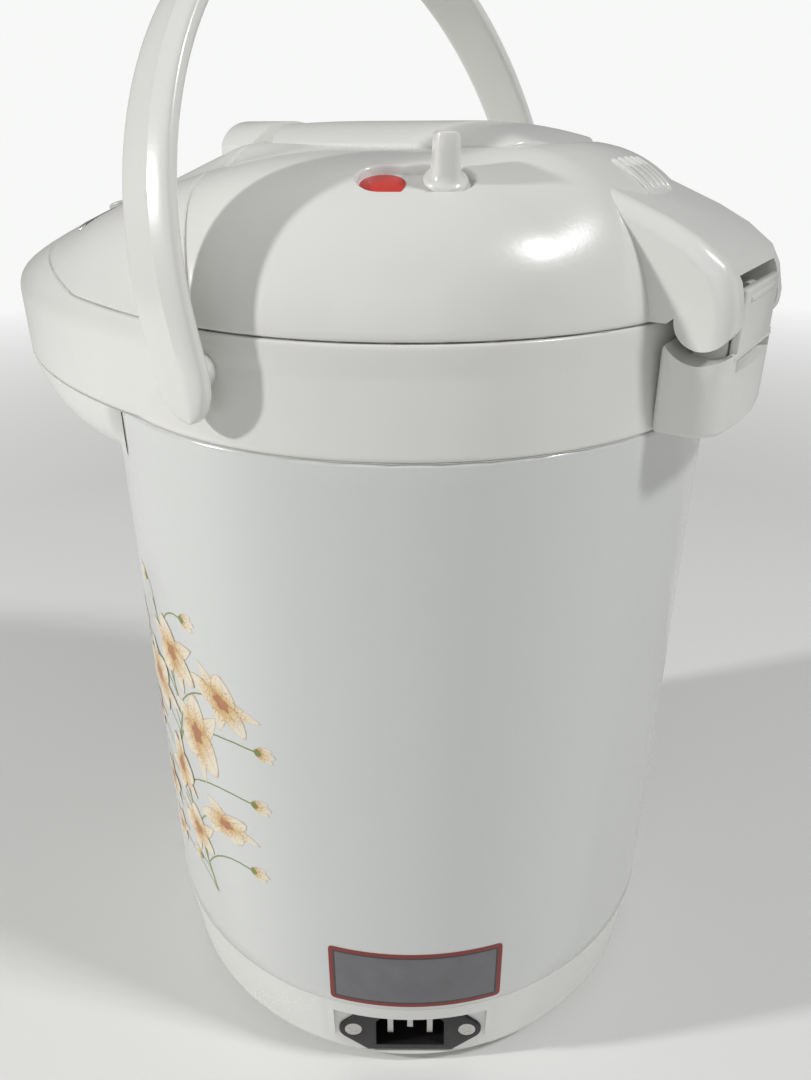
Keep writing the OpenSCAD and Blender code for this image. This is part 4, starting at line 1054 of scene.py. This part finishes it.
def makeHandle():
    f = handleForm
    section = roundCorners(f["section"], 2)
    # the ridge down the outer face stays crisp
    peak = min(range(len(section)), key=lambda i: math.hypot(section[i][0] - 2.5, section[i][1] + 2.87))
    section[peak] = f["ridge"]
    # stations along the strap: x, height, outward direction, width there; it runs past the pivots
    # and closes in round ends
    turns = [math.radians(b) for b in f["endTurns"]]
    ends = [(-f["endLong"], 0.02)] + [(-f["endLong"] * math.sin(b), math.cos(b)) for b in turns]
    leg = ends + [(4, 1), (8, 1)]
    stations = [(f["bow"], h, 1, 0, w) for h, w in leg]
    for i in range(f["bowSteps"] + 1):
        a = math.pi * i / f["bowSteps"]
        stations.append((f["bow"] * math.cos(a), f["rise"] + f["bow"] * math.sin(a),
                         math.cos(a), math.sin(a), 1))
    stations += [(-f["bow"], h, -1, 0, w) for h, w in leg[::-1]]
    c, d = math.cos(math.radians(f["lean"])), math.sin(math.radians(f["lean"]))
    n = len(section)

    def laid(x, y, z):
        return x, y * c - z * d, f["pivot"] + y * d + z * c

    def place(u, v):
        i, k = round(u * n) % n, round(v * (len(stations) - 1))
        x, z, nx, nz, w = stations[k]
        out, along = section[i]
        out *= 0.45 + 0.55 * w
        return laid(x + nx * out, -along * w, z + nz * out)

    bow = gridPiece("handle", n, len(stations) - 1, place, wrap=True, capEnds=True)
    finishPiece(bow, "handle", "shell", ["handle"], 30)
    # the ridge is the only sharp line along the strap
    ridgeLine = {tuple(round(c, 2) for c in place(peak / n, k / (len(stations) - 1)))
                 for k in range(len(ends), len(stations) - len(ends))}
    onRidge = [tuple(round(c / mm, 2) for c in point.co) in ridgeLine for point in bow.data.vertices]
    for edge in bow.data.edges:
        if onRidge[edge.vertices[0]] and onRidge[edge.vertices[1]]:
            edge.use_edge_sharp = True


makeHandle()
print("handle made")


# ---- spout cover ----

underForm = {"angles": (-27.1, -152.9), "tip": 3.5, "drop": 12, "from": -150, "to": -60, "curl": 10,
             "caseGap": 96.3, "endRound": 5, "below": 0.4, "columns": 120, "rows": 22, "turned": 6}


def makeSpoutCover():
    f = underForm
    first, last = [math.radians(a) for a in f["angles"]]
    rows, top = f["rows"], headForm["caseTop"]

    def place(u, v):
        a = first + (last - first) * u
        k = round(v * rows)
        side = math.sin(math.pi / 2 * min(k / (rows - f["turned"]), 1))
        rim = headR(a, top) - f["below"]
        depth = f["tip"] + f["drop"] * ease((rim * math.sin(a) - f["from"]) / (f["to"] - f["from"]))
        r = rim - f["curl"] * (1 - math.sqrt(max(1 - side ** 3, 0)))
        # the blunt ends beside the case are rounded off
        near = min(abs(a - first), abs(a - last)) * 90
        if near < f["endRound"]:
            r = f["caseGap"] + (r - f["caseGap"]) * math.sqrt(max(1 - (1 - near / f["endRound"]) ** 2, 0))
        # the last rows run in to the case
        if k > rows - f["turned"]:
            r += (f["caseGap"] - r) * (k - rows + f["turned"]) / f["turned"]
        r = max(r, f["caseGap"])
        return r * math.cos(a), r * math.sin(a), top - side * depth

    cover = gridPiece("spoutCover", f["columns"], rows, place)
    turnOut(cover, (0, -110, top))
    finishPiece(cover, "pot", "shell", ["spout_cover"])


makeSpoutCover()


# ---- case ----

caseForm = {"r": 96, "t": 1, "low": 35.5, "top": 232, "bead": 1.2, "foot": (0.15, 0.3), "lip": 5,
            "middle": 130, "around": 256, "window": ((-4.5, -110, 70), (4.5, -80, 190))}


def makeCase():
    f = caseForm
    # section of the drawn shell: rolled top edge, turned-in rim, plain foot
    section = [(f["r"] - f["foot"][0], f["low"]), (f["r"], f["low"] + f["foot"][1])]
    section += [(f["r"], f["low"] + (f["top"] - f["low"]) * i / 30) for i in range(1, 30)]
    for turn in spread(0, 90, 5):
        section.append((f["r"] - f["bead"] * (1 - math.cos(turn)),
                        f["top"] - f["bead"] * (1 - math.sin(turn))))
    inner, lip, under = f["r"] - f["t"], f["r"] - f["lip"], f["top"] - f["t"]
    section += [(lip, f["top"]), (lip, under), (inner, under), (inner, f["middle"]), (inner, f["low"])]
    n, around = len(section), f["around"]

    def place(u, v):
        a = 2 * math.pi * (round(u * around) % around) / around
        r, z = section[round(v * n) % n]
        return r * math.cos(a), r * math.sin(a), z

    case = cleanUp(gridPiece("outerCase", around, n, place, wrap=True))
    cutAway(case, boxPiece("cut", *f["window"]))
    finishPiece(case, "pot", "case_paint", ["outer_case"])


makeCase()
print("case made")


# ---- printed flowers and the plain plate on the case ----

# blooms: place round the case in degrees, height, size, turn; buds the same without the turn
flowerForm = {"lift": 0.04, "layer": 0.012,
              "blooms": [(-3, 149, 16, 8), (-18, 156, 14.5, 40), (-28, 139, 16.5, 95), (-12, 130, 18, 150),
                         (-36, 117, 13.5, 20), (-21, 108, 15, 75), (-6, 98, 15, 115), (-17, 84, 12.5, 10),
                         (-31, 90, 11, 60), (-38, 152, 13, 200), (-29, 70, 10, 130)],
              "buds": [(-43, 136, 8), (4, 136, 8), (2, 114, 8), (-41, 105, 8), (-27, 176, 8),
                       (-13, 172, 8), (0, 84, 8), (-17, 70, 7)],
              "stem": [(-12, 60), (-15, 74), (-18, 92), (-21, 106), (-20, 120), (-17, 134),
                       (-20, 148), (-25, 170)],
              "branch": 13}
arcPerDegree = math.pi * caseForm["r"] / 180


def onCase(s, z, lift):
    # s is a length round the case in millimetres, measured from +X
    a = s / caseForm["r"]
    r = caseForm["r"] + lift
    return r * math.cos(a), r * math.sin(a), z


def petalPiece(centre, turn, length, width, lift, point=0.7, across=6, along=10, lean=(0, 1), bend=0.0):
    # point is how sharp the tip is; lean is the way a bloom is turned from us and its narrowing
    cs, cz = centre
    lc, ls = math.cos(lean[0]), math.sin(lean[0])

    def place(u, v):
        side = 2 * u - 1
        # finer steps towards the tip keep its curve round
        v = 1 - (1 - v) ** 1.5
        reach = v * length
        half = width / 2 * max(math.sin(math.pi * (0.05 + 0.95 * v) ** 0.85), 0) ** point
        s, z = reach, side * half + bend * reach * v
        c, d = math.cos(turn), math.sin(turn)
        ps, pz = s * c - z * d, s * d + z * c
        narrow = (ps * lc + pz * ls) * (lean[1] - 1)
        return onCase(cs + ps + narrow * lc, cz + pz + narrow * ls, lift)

    return gridPiece("petal", across, along, place)


def flowerFinish():
    # cream petals, tan towards the tip and the veins, pink specks near the throat
    f = Finish("printedPetals", (0.82, 0.7, 0.48), 0.34)
    u, v = f.printAxes()
    wash = f.noise(260, 3)
    vein = ((u - 0.5).absolute() * 26).math("SINE") * 0.5 + 0.5
    base = f.stops(v + (wash - 0.5) * 0.3, (0.0, (0.40, 0.22, 0.06)), (0.18, (0.74, 0.52, 0.22)),
                   (0.42, (0.87, 0.77, 0.56)), (0.76, (0.88, 0.82, 0.70)), (1.0, (0.62, 0.44, 0.24)))
    rim = ((u - 0.5).absolute() > 0.44) * 0.4
    middle = ((u - 0.5).absolute() < 0.04) * (0.9 - v).clamped() * 0.5
    base = f.mix((vein * 0.14 + rim + middle).clamped(), base, (0.52, 0.35, 0.17))
    specks = f.wire(f.add("ShaderNodeTexVoronoi", Vector=f.place(), Scale=1100.0).outputs["Distance"])
    near = (v < 0.5) * (specks < 0.33) * 0.6
    f.set("Base Color", f.mix(near, base, (0.52, 0.17, 0.16)))
    f.set("Roughness", wash * 0.1 + 0.24)
    f.bump(wash, 0.00002)
    return f.material


def leafFinish(name, light, dark):
    f = Finish(name, light, 0.34)
    wash = f.noise(300, 3)
    f.set("Base Color", f.mix(wash, dark, light))
    f.set("Roughness", wash * 0.12 + 0.24)
    f.bump(wash, 0.00002)
    return f.material


def makeFlowers():
    f = flowerForm
    petals, hearts, greens = [], [], []
    for number, (deg, z, size, turn) in enumerate(f["blooms"]):
        at = (deg * arcPerDegree, z)
        base = f["lift"] + (number % 3) * 0.08
        lean = (random.uniform(0, math.pi), random.uniform(0.55, 0.9))
        # three narrow petals behind three broad ones
        for k in range(6):
            broad = k > 2
            angle = math.radians(turn + 120 * (k % 3) + (60 if broad else 0) + random.uniform(-9, 9))
            wide = size * (random.uniform(0.7, 0.82) if broad else random.uniform(0.4, 0.5))
            long = size * (random.uniform(0.84, 0.96) if broad else random.uniform(1.02, 1.2))
            petals.append(petalPiece(at, angle, long, wide, base + f["layer"] * k,
                                     0.62 if broad else 0.95, 8, 16, lean, random.uniform(-0.3, 0.3)))
        # a small crown round the throat
        for k in range(5):
            angle = math.radians(turn + 20 + 72 * k)
            hearts.append(petalPiece(at, angle, size * 0.25, size * 0.2, base + f["layer"] * (6 + k % 2),
                                     0.6, 5, 8, lean))

    def stemAt(z):
        for (sa, za), (sb, zb) in zip(f["stem"], f["stem"][1:]):
            if za <= z <= zb:
                return sa + (sb - sa) * (z - za) / (zb - za)
        return f["stem"][0 if z < f["stem"][0][1] else -1][0]

    lines = [[(s * arcPerDegree, z) for s, z in f["stem"]]]
    for deg, z, *_ in f["blooms"] + f["buds"]:
        # each flower and bud hangs on a bent twig of its own
        z0 = max(min(z - f["branch"], f["stem"][-1][1]), f["stem"][0][1])
        start, end = (stemAt(z0) * arcPerDegree, z0), (deg * arcPerDegree, z)
        knee = (start[0] + (end[0] - start[0]) * 0.35, z + 1)
        lines.append([tuple(a * (1 - t) ** 2 + b * 2 * t * (1 - t) + c * t * t
                            for a, b, c in zip(start, knee, end)) for t in [i / 6 for i in range(7)]])
    # three petals still closed over each bud, and a green cup
    for (deg, z, size), twig in zip(f["buds"], lines[1 + len(f["blooms"]):]):
        at = (deg * arcPerDegree, z)
        turn = math.atan2(twig[-1][1] - twig[-2][1], twig[-1][0] - twig[-2][0])
        for k, (off, share, thick) in enumerate(((0.35, 0.9, 0.36), (-0.35, 0.9, 0.36), (0, 1, 0.46))):
            petals.append(petalPiece(at, turn + off, size * share, size * thick,
                                     f["lift"] + f["layer"] * (k + 1)))
        greens.append(petalPiece(at, turn, size * 0.35, size * 0.34, f["lift"] + f["layer"] * 5))
    for number, points in enumerate(lines):

        def place(u, v, points=points, half=0.28 if number else 0.5):
            t = v * (len(points) - 1)
            i = min(int(t), len(points) - 2)
            (sa, za), (sb, zb) = points[i], points[i + 1]
            w = t - i
            ds, dz = sb - sa, zb - za
            size = math.hypot(ds, dz)
            off = (2 * u - 1) * half
            return onCase(sa + ds * w - dz / size * off, za + dz * w + ds / size * off, f["lift"] * 0.6)
        greens.append(gridPiece("stem", 1, 6 * (len(points) - 1), place))
    for piece in petals + hearts + greens:
        turnOut(piece, (0, 0, 120))
    prints = {"printedFlowers": (petals, flowerFinish()),
              "printedHearts": (hearts, leafFinish("printedHearts", (0.60, 0.27, 0.10),
                                                   (0.36, 0.12, 0.07))),
              "printedStems": (greens, leafFinish("printedStems", (0.3, 0.36, 0.1), (0.16, 0.2, 0.05)))}
    for name, (pieces, material) in prints.items():
        finishPiece(joinPieces(*pieces), "pot", "case_paint", material=material).name = name


plateLabel = {"from": 16.7, "to": 51.5, "low": 37.6, "high": 62.9, "lift": 0.16, "corner": 1.6,
              "border": 1.5, "thick": 0.12, "field": (0.16, 0.16, 0.17), "edge": (0.25, 0.035, 0.03),
              "line": (0.05, 0.05, 0.05)}


def ratingFinish():
    # dark grey field with a dark red border; the field is faintly brushed foil, and blank
    f = Finish("blankPlate", plateLabel["field"], 0.35, 0.25)
    u, v = f.printAxes()
    wash = f.noise(120, 4)
    sideU, sideV = (u - 0.5).absolute(), (v - 0.5).absolute()
    wide = (plateLabel["to"] - plateLabel["from"]) * arcPerDegree
    tall = plateLabel["high"] - plateLabel["low"]
    du, dv = plateLabel["border"] / wide, plateLabel["border"] / tall
    edge = (sideU > 0.5 - du).math("MAXIMUM", sideV > 0.5 - dv)
    rim = (sideU > 0.5 - du * 1.45).math("MAXIMUM", sideV > 0.5 - dv * 1.45)
    field = f.mix(wash, tint(plateLabel["field"], 0.8), tint(plateLabel["field"], 1.3))
    f.set("Base Color", f.mix(edge, f.mix(rim, field, plateLabel["line"]), plateLabel["edge"]))
    f.set("Roughness", wash * 0.2 + 0.28)
    f.bump(wash, 0.00002)
    return f.material


def makeLabel():
    f = plateLabel
    wide, tall = (f["to"] - f["from"]) * arcPerDegree, f["high"] - f["low"]

    def place(u, v):
        s, z = u * wide, v * tall
        # square corners are drawn in to a small radius
        for cs, cz in ((f["corner"], f["corner"]), (wide - f["corner"], f["corner"]),
                       (f["corner"], tall - f["corner"]), (wide - f["corner"], tall - f["corner"])):
            if (s - cs) * (cs - wide / 2) >= 0 and (z - cz) * (cz - tall / 2) >= 0:
                d = math.hypot(s - cs, z - cz)
                if d > f["corner"]:
                    s, z = cs + (s - cs) * f["corner"] / d, cz + (z - cz) * f["corner"] / d
        return onCase(s + f["from"] * arcPerDegree, z + f["low"], f["lift"])

    label = turnOut(gridPiece("blankPlate", 60, 30, place), (0, 0, 50))
    applyModifier(label, "SOLIDIFY", thickness=f["thick"] * mm, offset=-1)
    finishPiece(label, "pot", "zinc", material=ratingFinish())


makeFlowers()
makeLabel()
print("print and plate made")


# ---- screws with crossed heads ----

screwForm = {"angle": 33, "face": 90.5, "sunk": 0.05, "z": 17.5, "pitch": 40, "r": 3, "high": 1.5,
             "slots": ((3.6, 0.8), (0.8, 3.6))}


def crossScrew():
    s = screwForm
    head = rodPiece("screwMaster", s["r"], s["high"], (0, 0, -s["high"] / 2), sides=40)
    rimBevel(head, s["high"] * 0.55, 4, 50, True)
    for long, wide in s["slots"]:
        cutAway(head, boxPiece("cut", (-long / 2, -wide / 2, -s["high"] * 0.7),
                               (long / 2, wide / 2, 1), 0.1, 1))
    return head


def laidScrew(master, name, at, direction):
    piece = bpy.data.objects.new(name, master.data.copy())
    bpy.context.scene.collection.objects.link(piece)
    turn = Vector((0, 0, 1)).rotation_difference(Vector(direction)).to_matrix().to_4x4()
    piece.data.transform(Matrix.Translation(Vector(at) * mm) @ turn)
    return piece


def makeScrews():
    s = screwForm
    master = crossScrew()
    c, d = math.cos(math.radians(s["angle"])), math.sin(math.radians(s["angle"]))
    out = s["face"] - s["sunk"]
    for letter, along in (("A", -s["pitch"] / 2), ("B", s["pitch"] / 2)):
        at = (c * out - d * along, d * out + c * along, s["z"])
        finishPiece(laidScrew(master, "inletScrewHead" + letter, at, (c, d, 0)), "pot", "steel")
    bpy.data.objects.remove(master)


makeScrews()


# ---- mains inlet ----

inletForm = {"ear": screwForm["pitch"] / 2, "earR": 5, "shoulder": 15, "high": 11, "thick": 3,
             "bodyHalf": (13.5, 9.8), "deep": 24, "socket": (12, 8.2), "chamfer": 4, "socketDeep": 16,
             "soft": 0.5, "seatR": 3.2, "seatDeep": 1.4}


def makeInlet():
    # the flange with its two ears, the body behind it and the cornered socket
    f = inletForm
    back = f["shoulder"] - f["ear"]
    a = math.degrees(math.atan2(f["high"], back) - math.acos(f["earR"] / math.hypot(back, f["high"])))
    right = [(f["ear"] + f["earR"] * math.cos(t), f["earR"] * math.sin(t)) for t in spread(-a, a, 14)]
    half = [(f["shoulder"], -f["high"])] + right + [(f["shoulder"], f["high"])]
    outline = half + [(-y, z) for y, z in reversed(half)]

    def toPoint(y, z, x):
        return x, y, z

    inlet = prismPiece("mainsInlet", outline, -f["thick"], 0, toPoint)
    rimBevel(inlet, f["soft"], 3, 60)
    w, h = f["bodyHalf"]
    cutAway(inlet, boxPiece("body", (-f["deep"], -w, -h), (-1, w, h)), "UNION")
    w, h = f["socket"]
    socket = [(-w, -h), (w, -h), (w, h - f["chamfer"]), (w - f["chamfer"], h), (-w + f["chamfer"], h),
              (-w, h - f["chamfer"])]
    cutAway(inlet, prismPiece("cut", socket, -f["socketDeep"], 2, toPoint))
    for side in (-1, 1):
        seat = rodPiece("cut", f["seatR"], 4, (2 - f["seatDeep"], side * f["ear"], 0), (0, 90, 0), 40)
        cutAway(inlet, seat)
    cleanUp(inlet)
    turn = Matrix.Rotation(math.radians(screwForm["angle"]), 4, "Z")
    face = Vector((screwForm["face"], 0, screwForm["z"])) * mm
    inlet.data.transform(turn @ Matrix.Translation(face))
    finishPiece(inlet, "pot", "black", ["mains_inlet"])


baseForm = {"footR": 93, "round": 9, "lift": 1.5, "caseR": 96, "seam": 35.5, "proud": 0.12,
            "sunk": 0.3, "padHalf": 26.9, "columns": 220}


def makeBase():
    # the model's ring with a smooth outer wall laid over it, open where the inlet's flat pocket is
    f = baseForm
    x0, z0 = f["footR"] - f["round"], f["lift"] + f["round"]
    wall = [(x0 + f["round"] * math.cos(t), z0 + f["round"] * math.sin(t)) for t in spread(-60, 0, 10)]
    wall += [(f["footR"] + (f["caseR"] - f["footR"]) * i / 8, z0 + (f["seam"] - z0) * i / 8)
             for i in range(1, 9)]
    rows = [(wall[0][0] - f["sunk"], wall[0][1])] + [(r + f["proud"], z) for r, z in wall]
    rows.append((f["caseR"] - 0.2, f["seam"] + 0.03))
    gap = math.asin(f["padHalf"] / f["footR"])
    first = math.radians(screwForm["angle"]) + gap
    span = 2 * math.pi - 2 * gap

    def place(u, v):
        a = first + span * u
        r, z = rows[round(v * (len(rows) - 1))]
        r -= f["sunk"] if u < 0.001 or u > 0.999 else 0
        return r * math.cos(a), r * math.sin(a), z

    skin = turnOut(gridPiece("baseSkin", f["columns"], len(rows) - 1, place), (0, 0, 20))
    finishPiece(joinPieces(nodeCopy("base_ring", "baseRing"), skin), "pot", "shell", ["base_ring"])


makeInlet()
makeBase()
print("inlet and base made")


# ---- what stays as the model gives it, smoothed and in its own finish ----

slotNodes = {"shell": ["pump_housing", "pump_impeller", "nozzle", "lid_inner"],
             "black": ["base_cover", "thermostats"], "foot": ["rubber_feet"], "motor": ["pump_motor"],
             "steel": ["base_screws", "inlet_pins", "inlet_screws", "inner_pot", "handle_pins",
                       "hinge_pin", "bellows_spring"],
             "zinc": ["liner_bracket", "heater_band"], "clear": ["gauge_window", "sight_tube"],
             "silicone": ["liner_gasket", "lower_hose", "upper_hose", "lid_gasket", "bellows"],
             "amber": ["indicator_lenses"], "board": ["control_board"]}
rolledEdges = {"nozzle": 0.4, "rubber_feet": 0.6}
nodeBody = {n: b for b, members in frame["record"]["behaviour"]["bodies"].items() for n in members}
nodePieces = {}
for slotName, members in slotNodes.items():
    for node in members:
        width = rolledEdges.get(node)
        name = node.replace("_", " ").title().replace(" ", "")
        name = name[0].lower() + name[1:] + "Piece"
        piece = roundedCopy(node, name, width) if width else nodeCopy(node, name)
        nodePieces[node] = finishPiece(piece, nodeBody[node], slotName, [node], 32)
# the bellows and its spring, whose feet stand on the inner lid, each get a mesh of their own; how far the
# plate would squeeze them is worked out, but nothing squeezes them
plateJoint = next(j for j in frame["record"]["behaviour"]["joints"] if j["name"] == "plate_press")
plateTravel = max(plateJoint["range_m"])
for row in plateJoint["deforming_nodes"]:
    node, foot = row["node"], row["fixed_end_z_m"]
    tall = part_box(node)[1][2] - foot
    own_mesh(nodePieces[node], "plate_press", (0, 0, 1), (0, 0, foot), 1 - plateTravel / tall)
print("other pieces made")


# ---- floor, lamps and camera ----

backdrop = (0.93, 0.94, 0.93, 1)
roomLight = 0.26
floorForm = {"size": 30, "tone": (0.80, 0.80, 0.79), "fadeFrom": 0.55, "fadeTo": 1.5}
# lamps: place, what it looks at, side of the square, power, colour
lampForms = {"keyLamp": ((1.3, -1.25, 1.0), (0, 0, 0.22), 0.1, 22, (1, 0.995, 0.98)),
             "ceilingLamp": ((-0.2, 1.1, 1.55), (0, 0, 0.22), 0.2, 13, (1, 1, 1)),
             "fillLamp": ((1.5, 0.7, 0.9), (0, 0, 0.12), 1.2, 2, (1, 1, 1))}
# the photo's camera as fitted: focal length and height in pixels, eye, sight line, level to the right
cameraForm = {"focal": 850, "high": 1080, "sensor": 36, "near": 0.01, "eye": (0.2385, 0.1549, 0.3039),
              "forward": (-0.7511, -0.4942, -0.4377), "right": (-0.5446, 0.8387, 0)}


def makeStage():
    # a pale floor that takes the shadow near the pot and fades into an even backdrop further out
    clearSelection()
    bpy.ops.mesh.primitive_plane_add(size=floorForm["size"], location=(0, 0, 0))
    floor = bpy.context.object
    floor.name = "paleFloor"
    f = Finish("paleFloor", floorForm["tone"], 0.6)
    cloud = f.noise(3, 3)
    f.set("Base Color", f.mix(cloud * 0.3, floorForm["tone"], tint(floorForm["tone"], 0.96)))
    f.set("Roughness", cloud * 0.2 + 0.5)
    x, y = f.axes()[:2]
    reach = (x * x + y * y).math("SQRT")
    first, last = floorForm["fadeFrom"], floorForm["fadeTo"]
    far = ((reach - first) / (last - first)).clamped()
    seen = f.wire(f.add("ShaderNodeLightPath").outputs["Is Camera Ray"])
    glow = f.add("ShaderNodeEmission", Color=backdrop, Strength=1.0)
    blend = f.add("ShaderNodeMixShader")
    f.feed(blend.inputs[0], far * seen)
    f.tree.links.new(f.shader.outputs[0], blend.inputs[1])
    f.tree.links.new(glow.outputs[0], blend.inputs[2])
    f.tree.links.new(blend.outputs[0], f.tree.nodes["Material Output"].inputs["Surface"])
    floor.data.materials.append(f.material)


def softLamp(name, at, towards, size, power, colour):
    light = bpy.data.lights.new(name, "AREA")
    light.shape, light.size = "SQUARE", size
    light.energy, light.color = power, colour
    lamp = bpy.data.objects.new(name, light)
    bpy.context.scene.collection.objects.link(lamp)
    lamp.location = at
    lamp.rotation_euler = (Vector(towards) - Vector(at)).to_track_quat("-Z", "Y").to_euler()


def makeWorld():
    world = bpy.data.worlds.new("softRoom")
    bpy.context.scene.world = world
    world.use_nodes = True
    tree = world.node_tree
    light = tree.nodes["Background"]
    light.inputs["Color"].default_value = (1, 1, 1, 1)
    light.inputs["Strength"].default_value = roomLight
    seen = tree.nodes.new("ShaderNodeBackground")
    seen.inputs["Color"].default_value = backdrop
    path = tree.nodes.new("ShaderNodeLightPath")
    mix = tree.nodes.new("ShaderNodeMixShader")
    tree.links.new(path.outputs["Is Camera Ray"], mix.inputs[0])
    tree.links.new(light.outputs[0], mix.inputs[1])
    tree.links.new(seen.outputs[0], mix.inputs[2])
    tree.links.new(mix.outputs[0], tree.nodes["World Output"].inputs[0])


def makeCamera():
    f = cameraForm
    view = bpy.data.cameras.new("photoView")
    view.sensor_fit = "VERTICAL"
    view.sensor_height = f["sensor"]
    view.lens = f["focal"] / f["high"] * f["sensor"]
    view.clip_start = f["near"]
    camera = bpy.data.objects.new("photoView", view)
    bpy.context.scene.collection.objects.link(camera)
    forward, right = Vector(f["forward"]).normalized(), Vector(f["right"])
    right = (right - right.dot(forward) * forward).normalized()
    up = right.cross(forward)
    turn = Matrix((right, up, -forward)).transposed()
    camera.matrix_world = Matrix.Translation(f["eye"]) @ turn.to_4x4()
    bpy.context.scene.camera = camera


makeStage()
makeWorld()
for name, form in lampForms.items():
    softLamp(name, *form)
makeCamera()
bpy.context.scene.view_settings.view_transform = "Standard"
print("stage made")
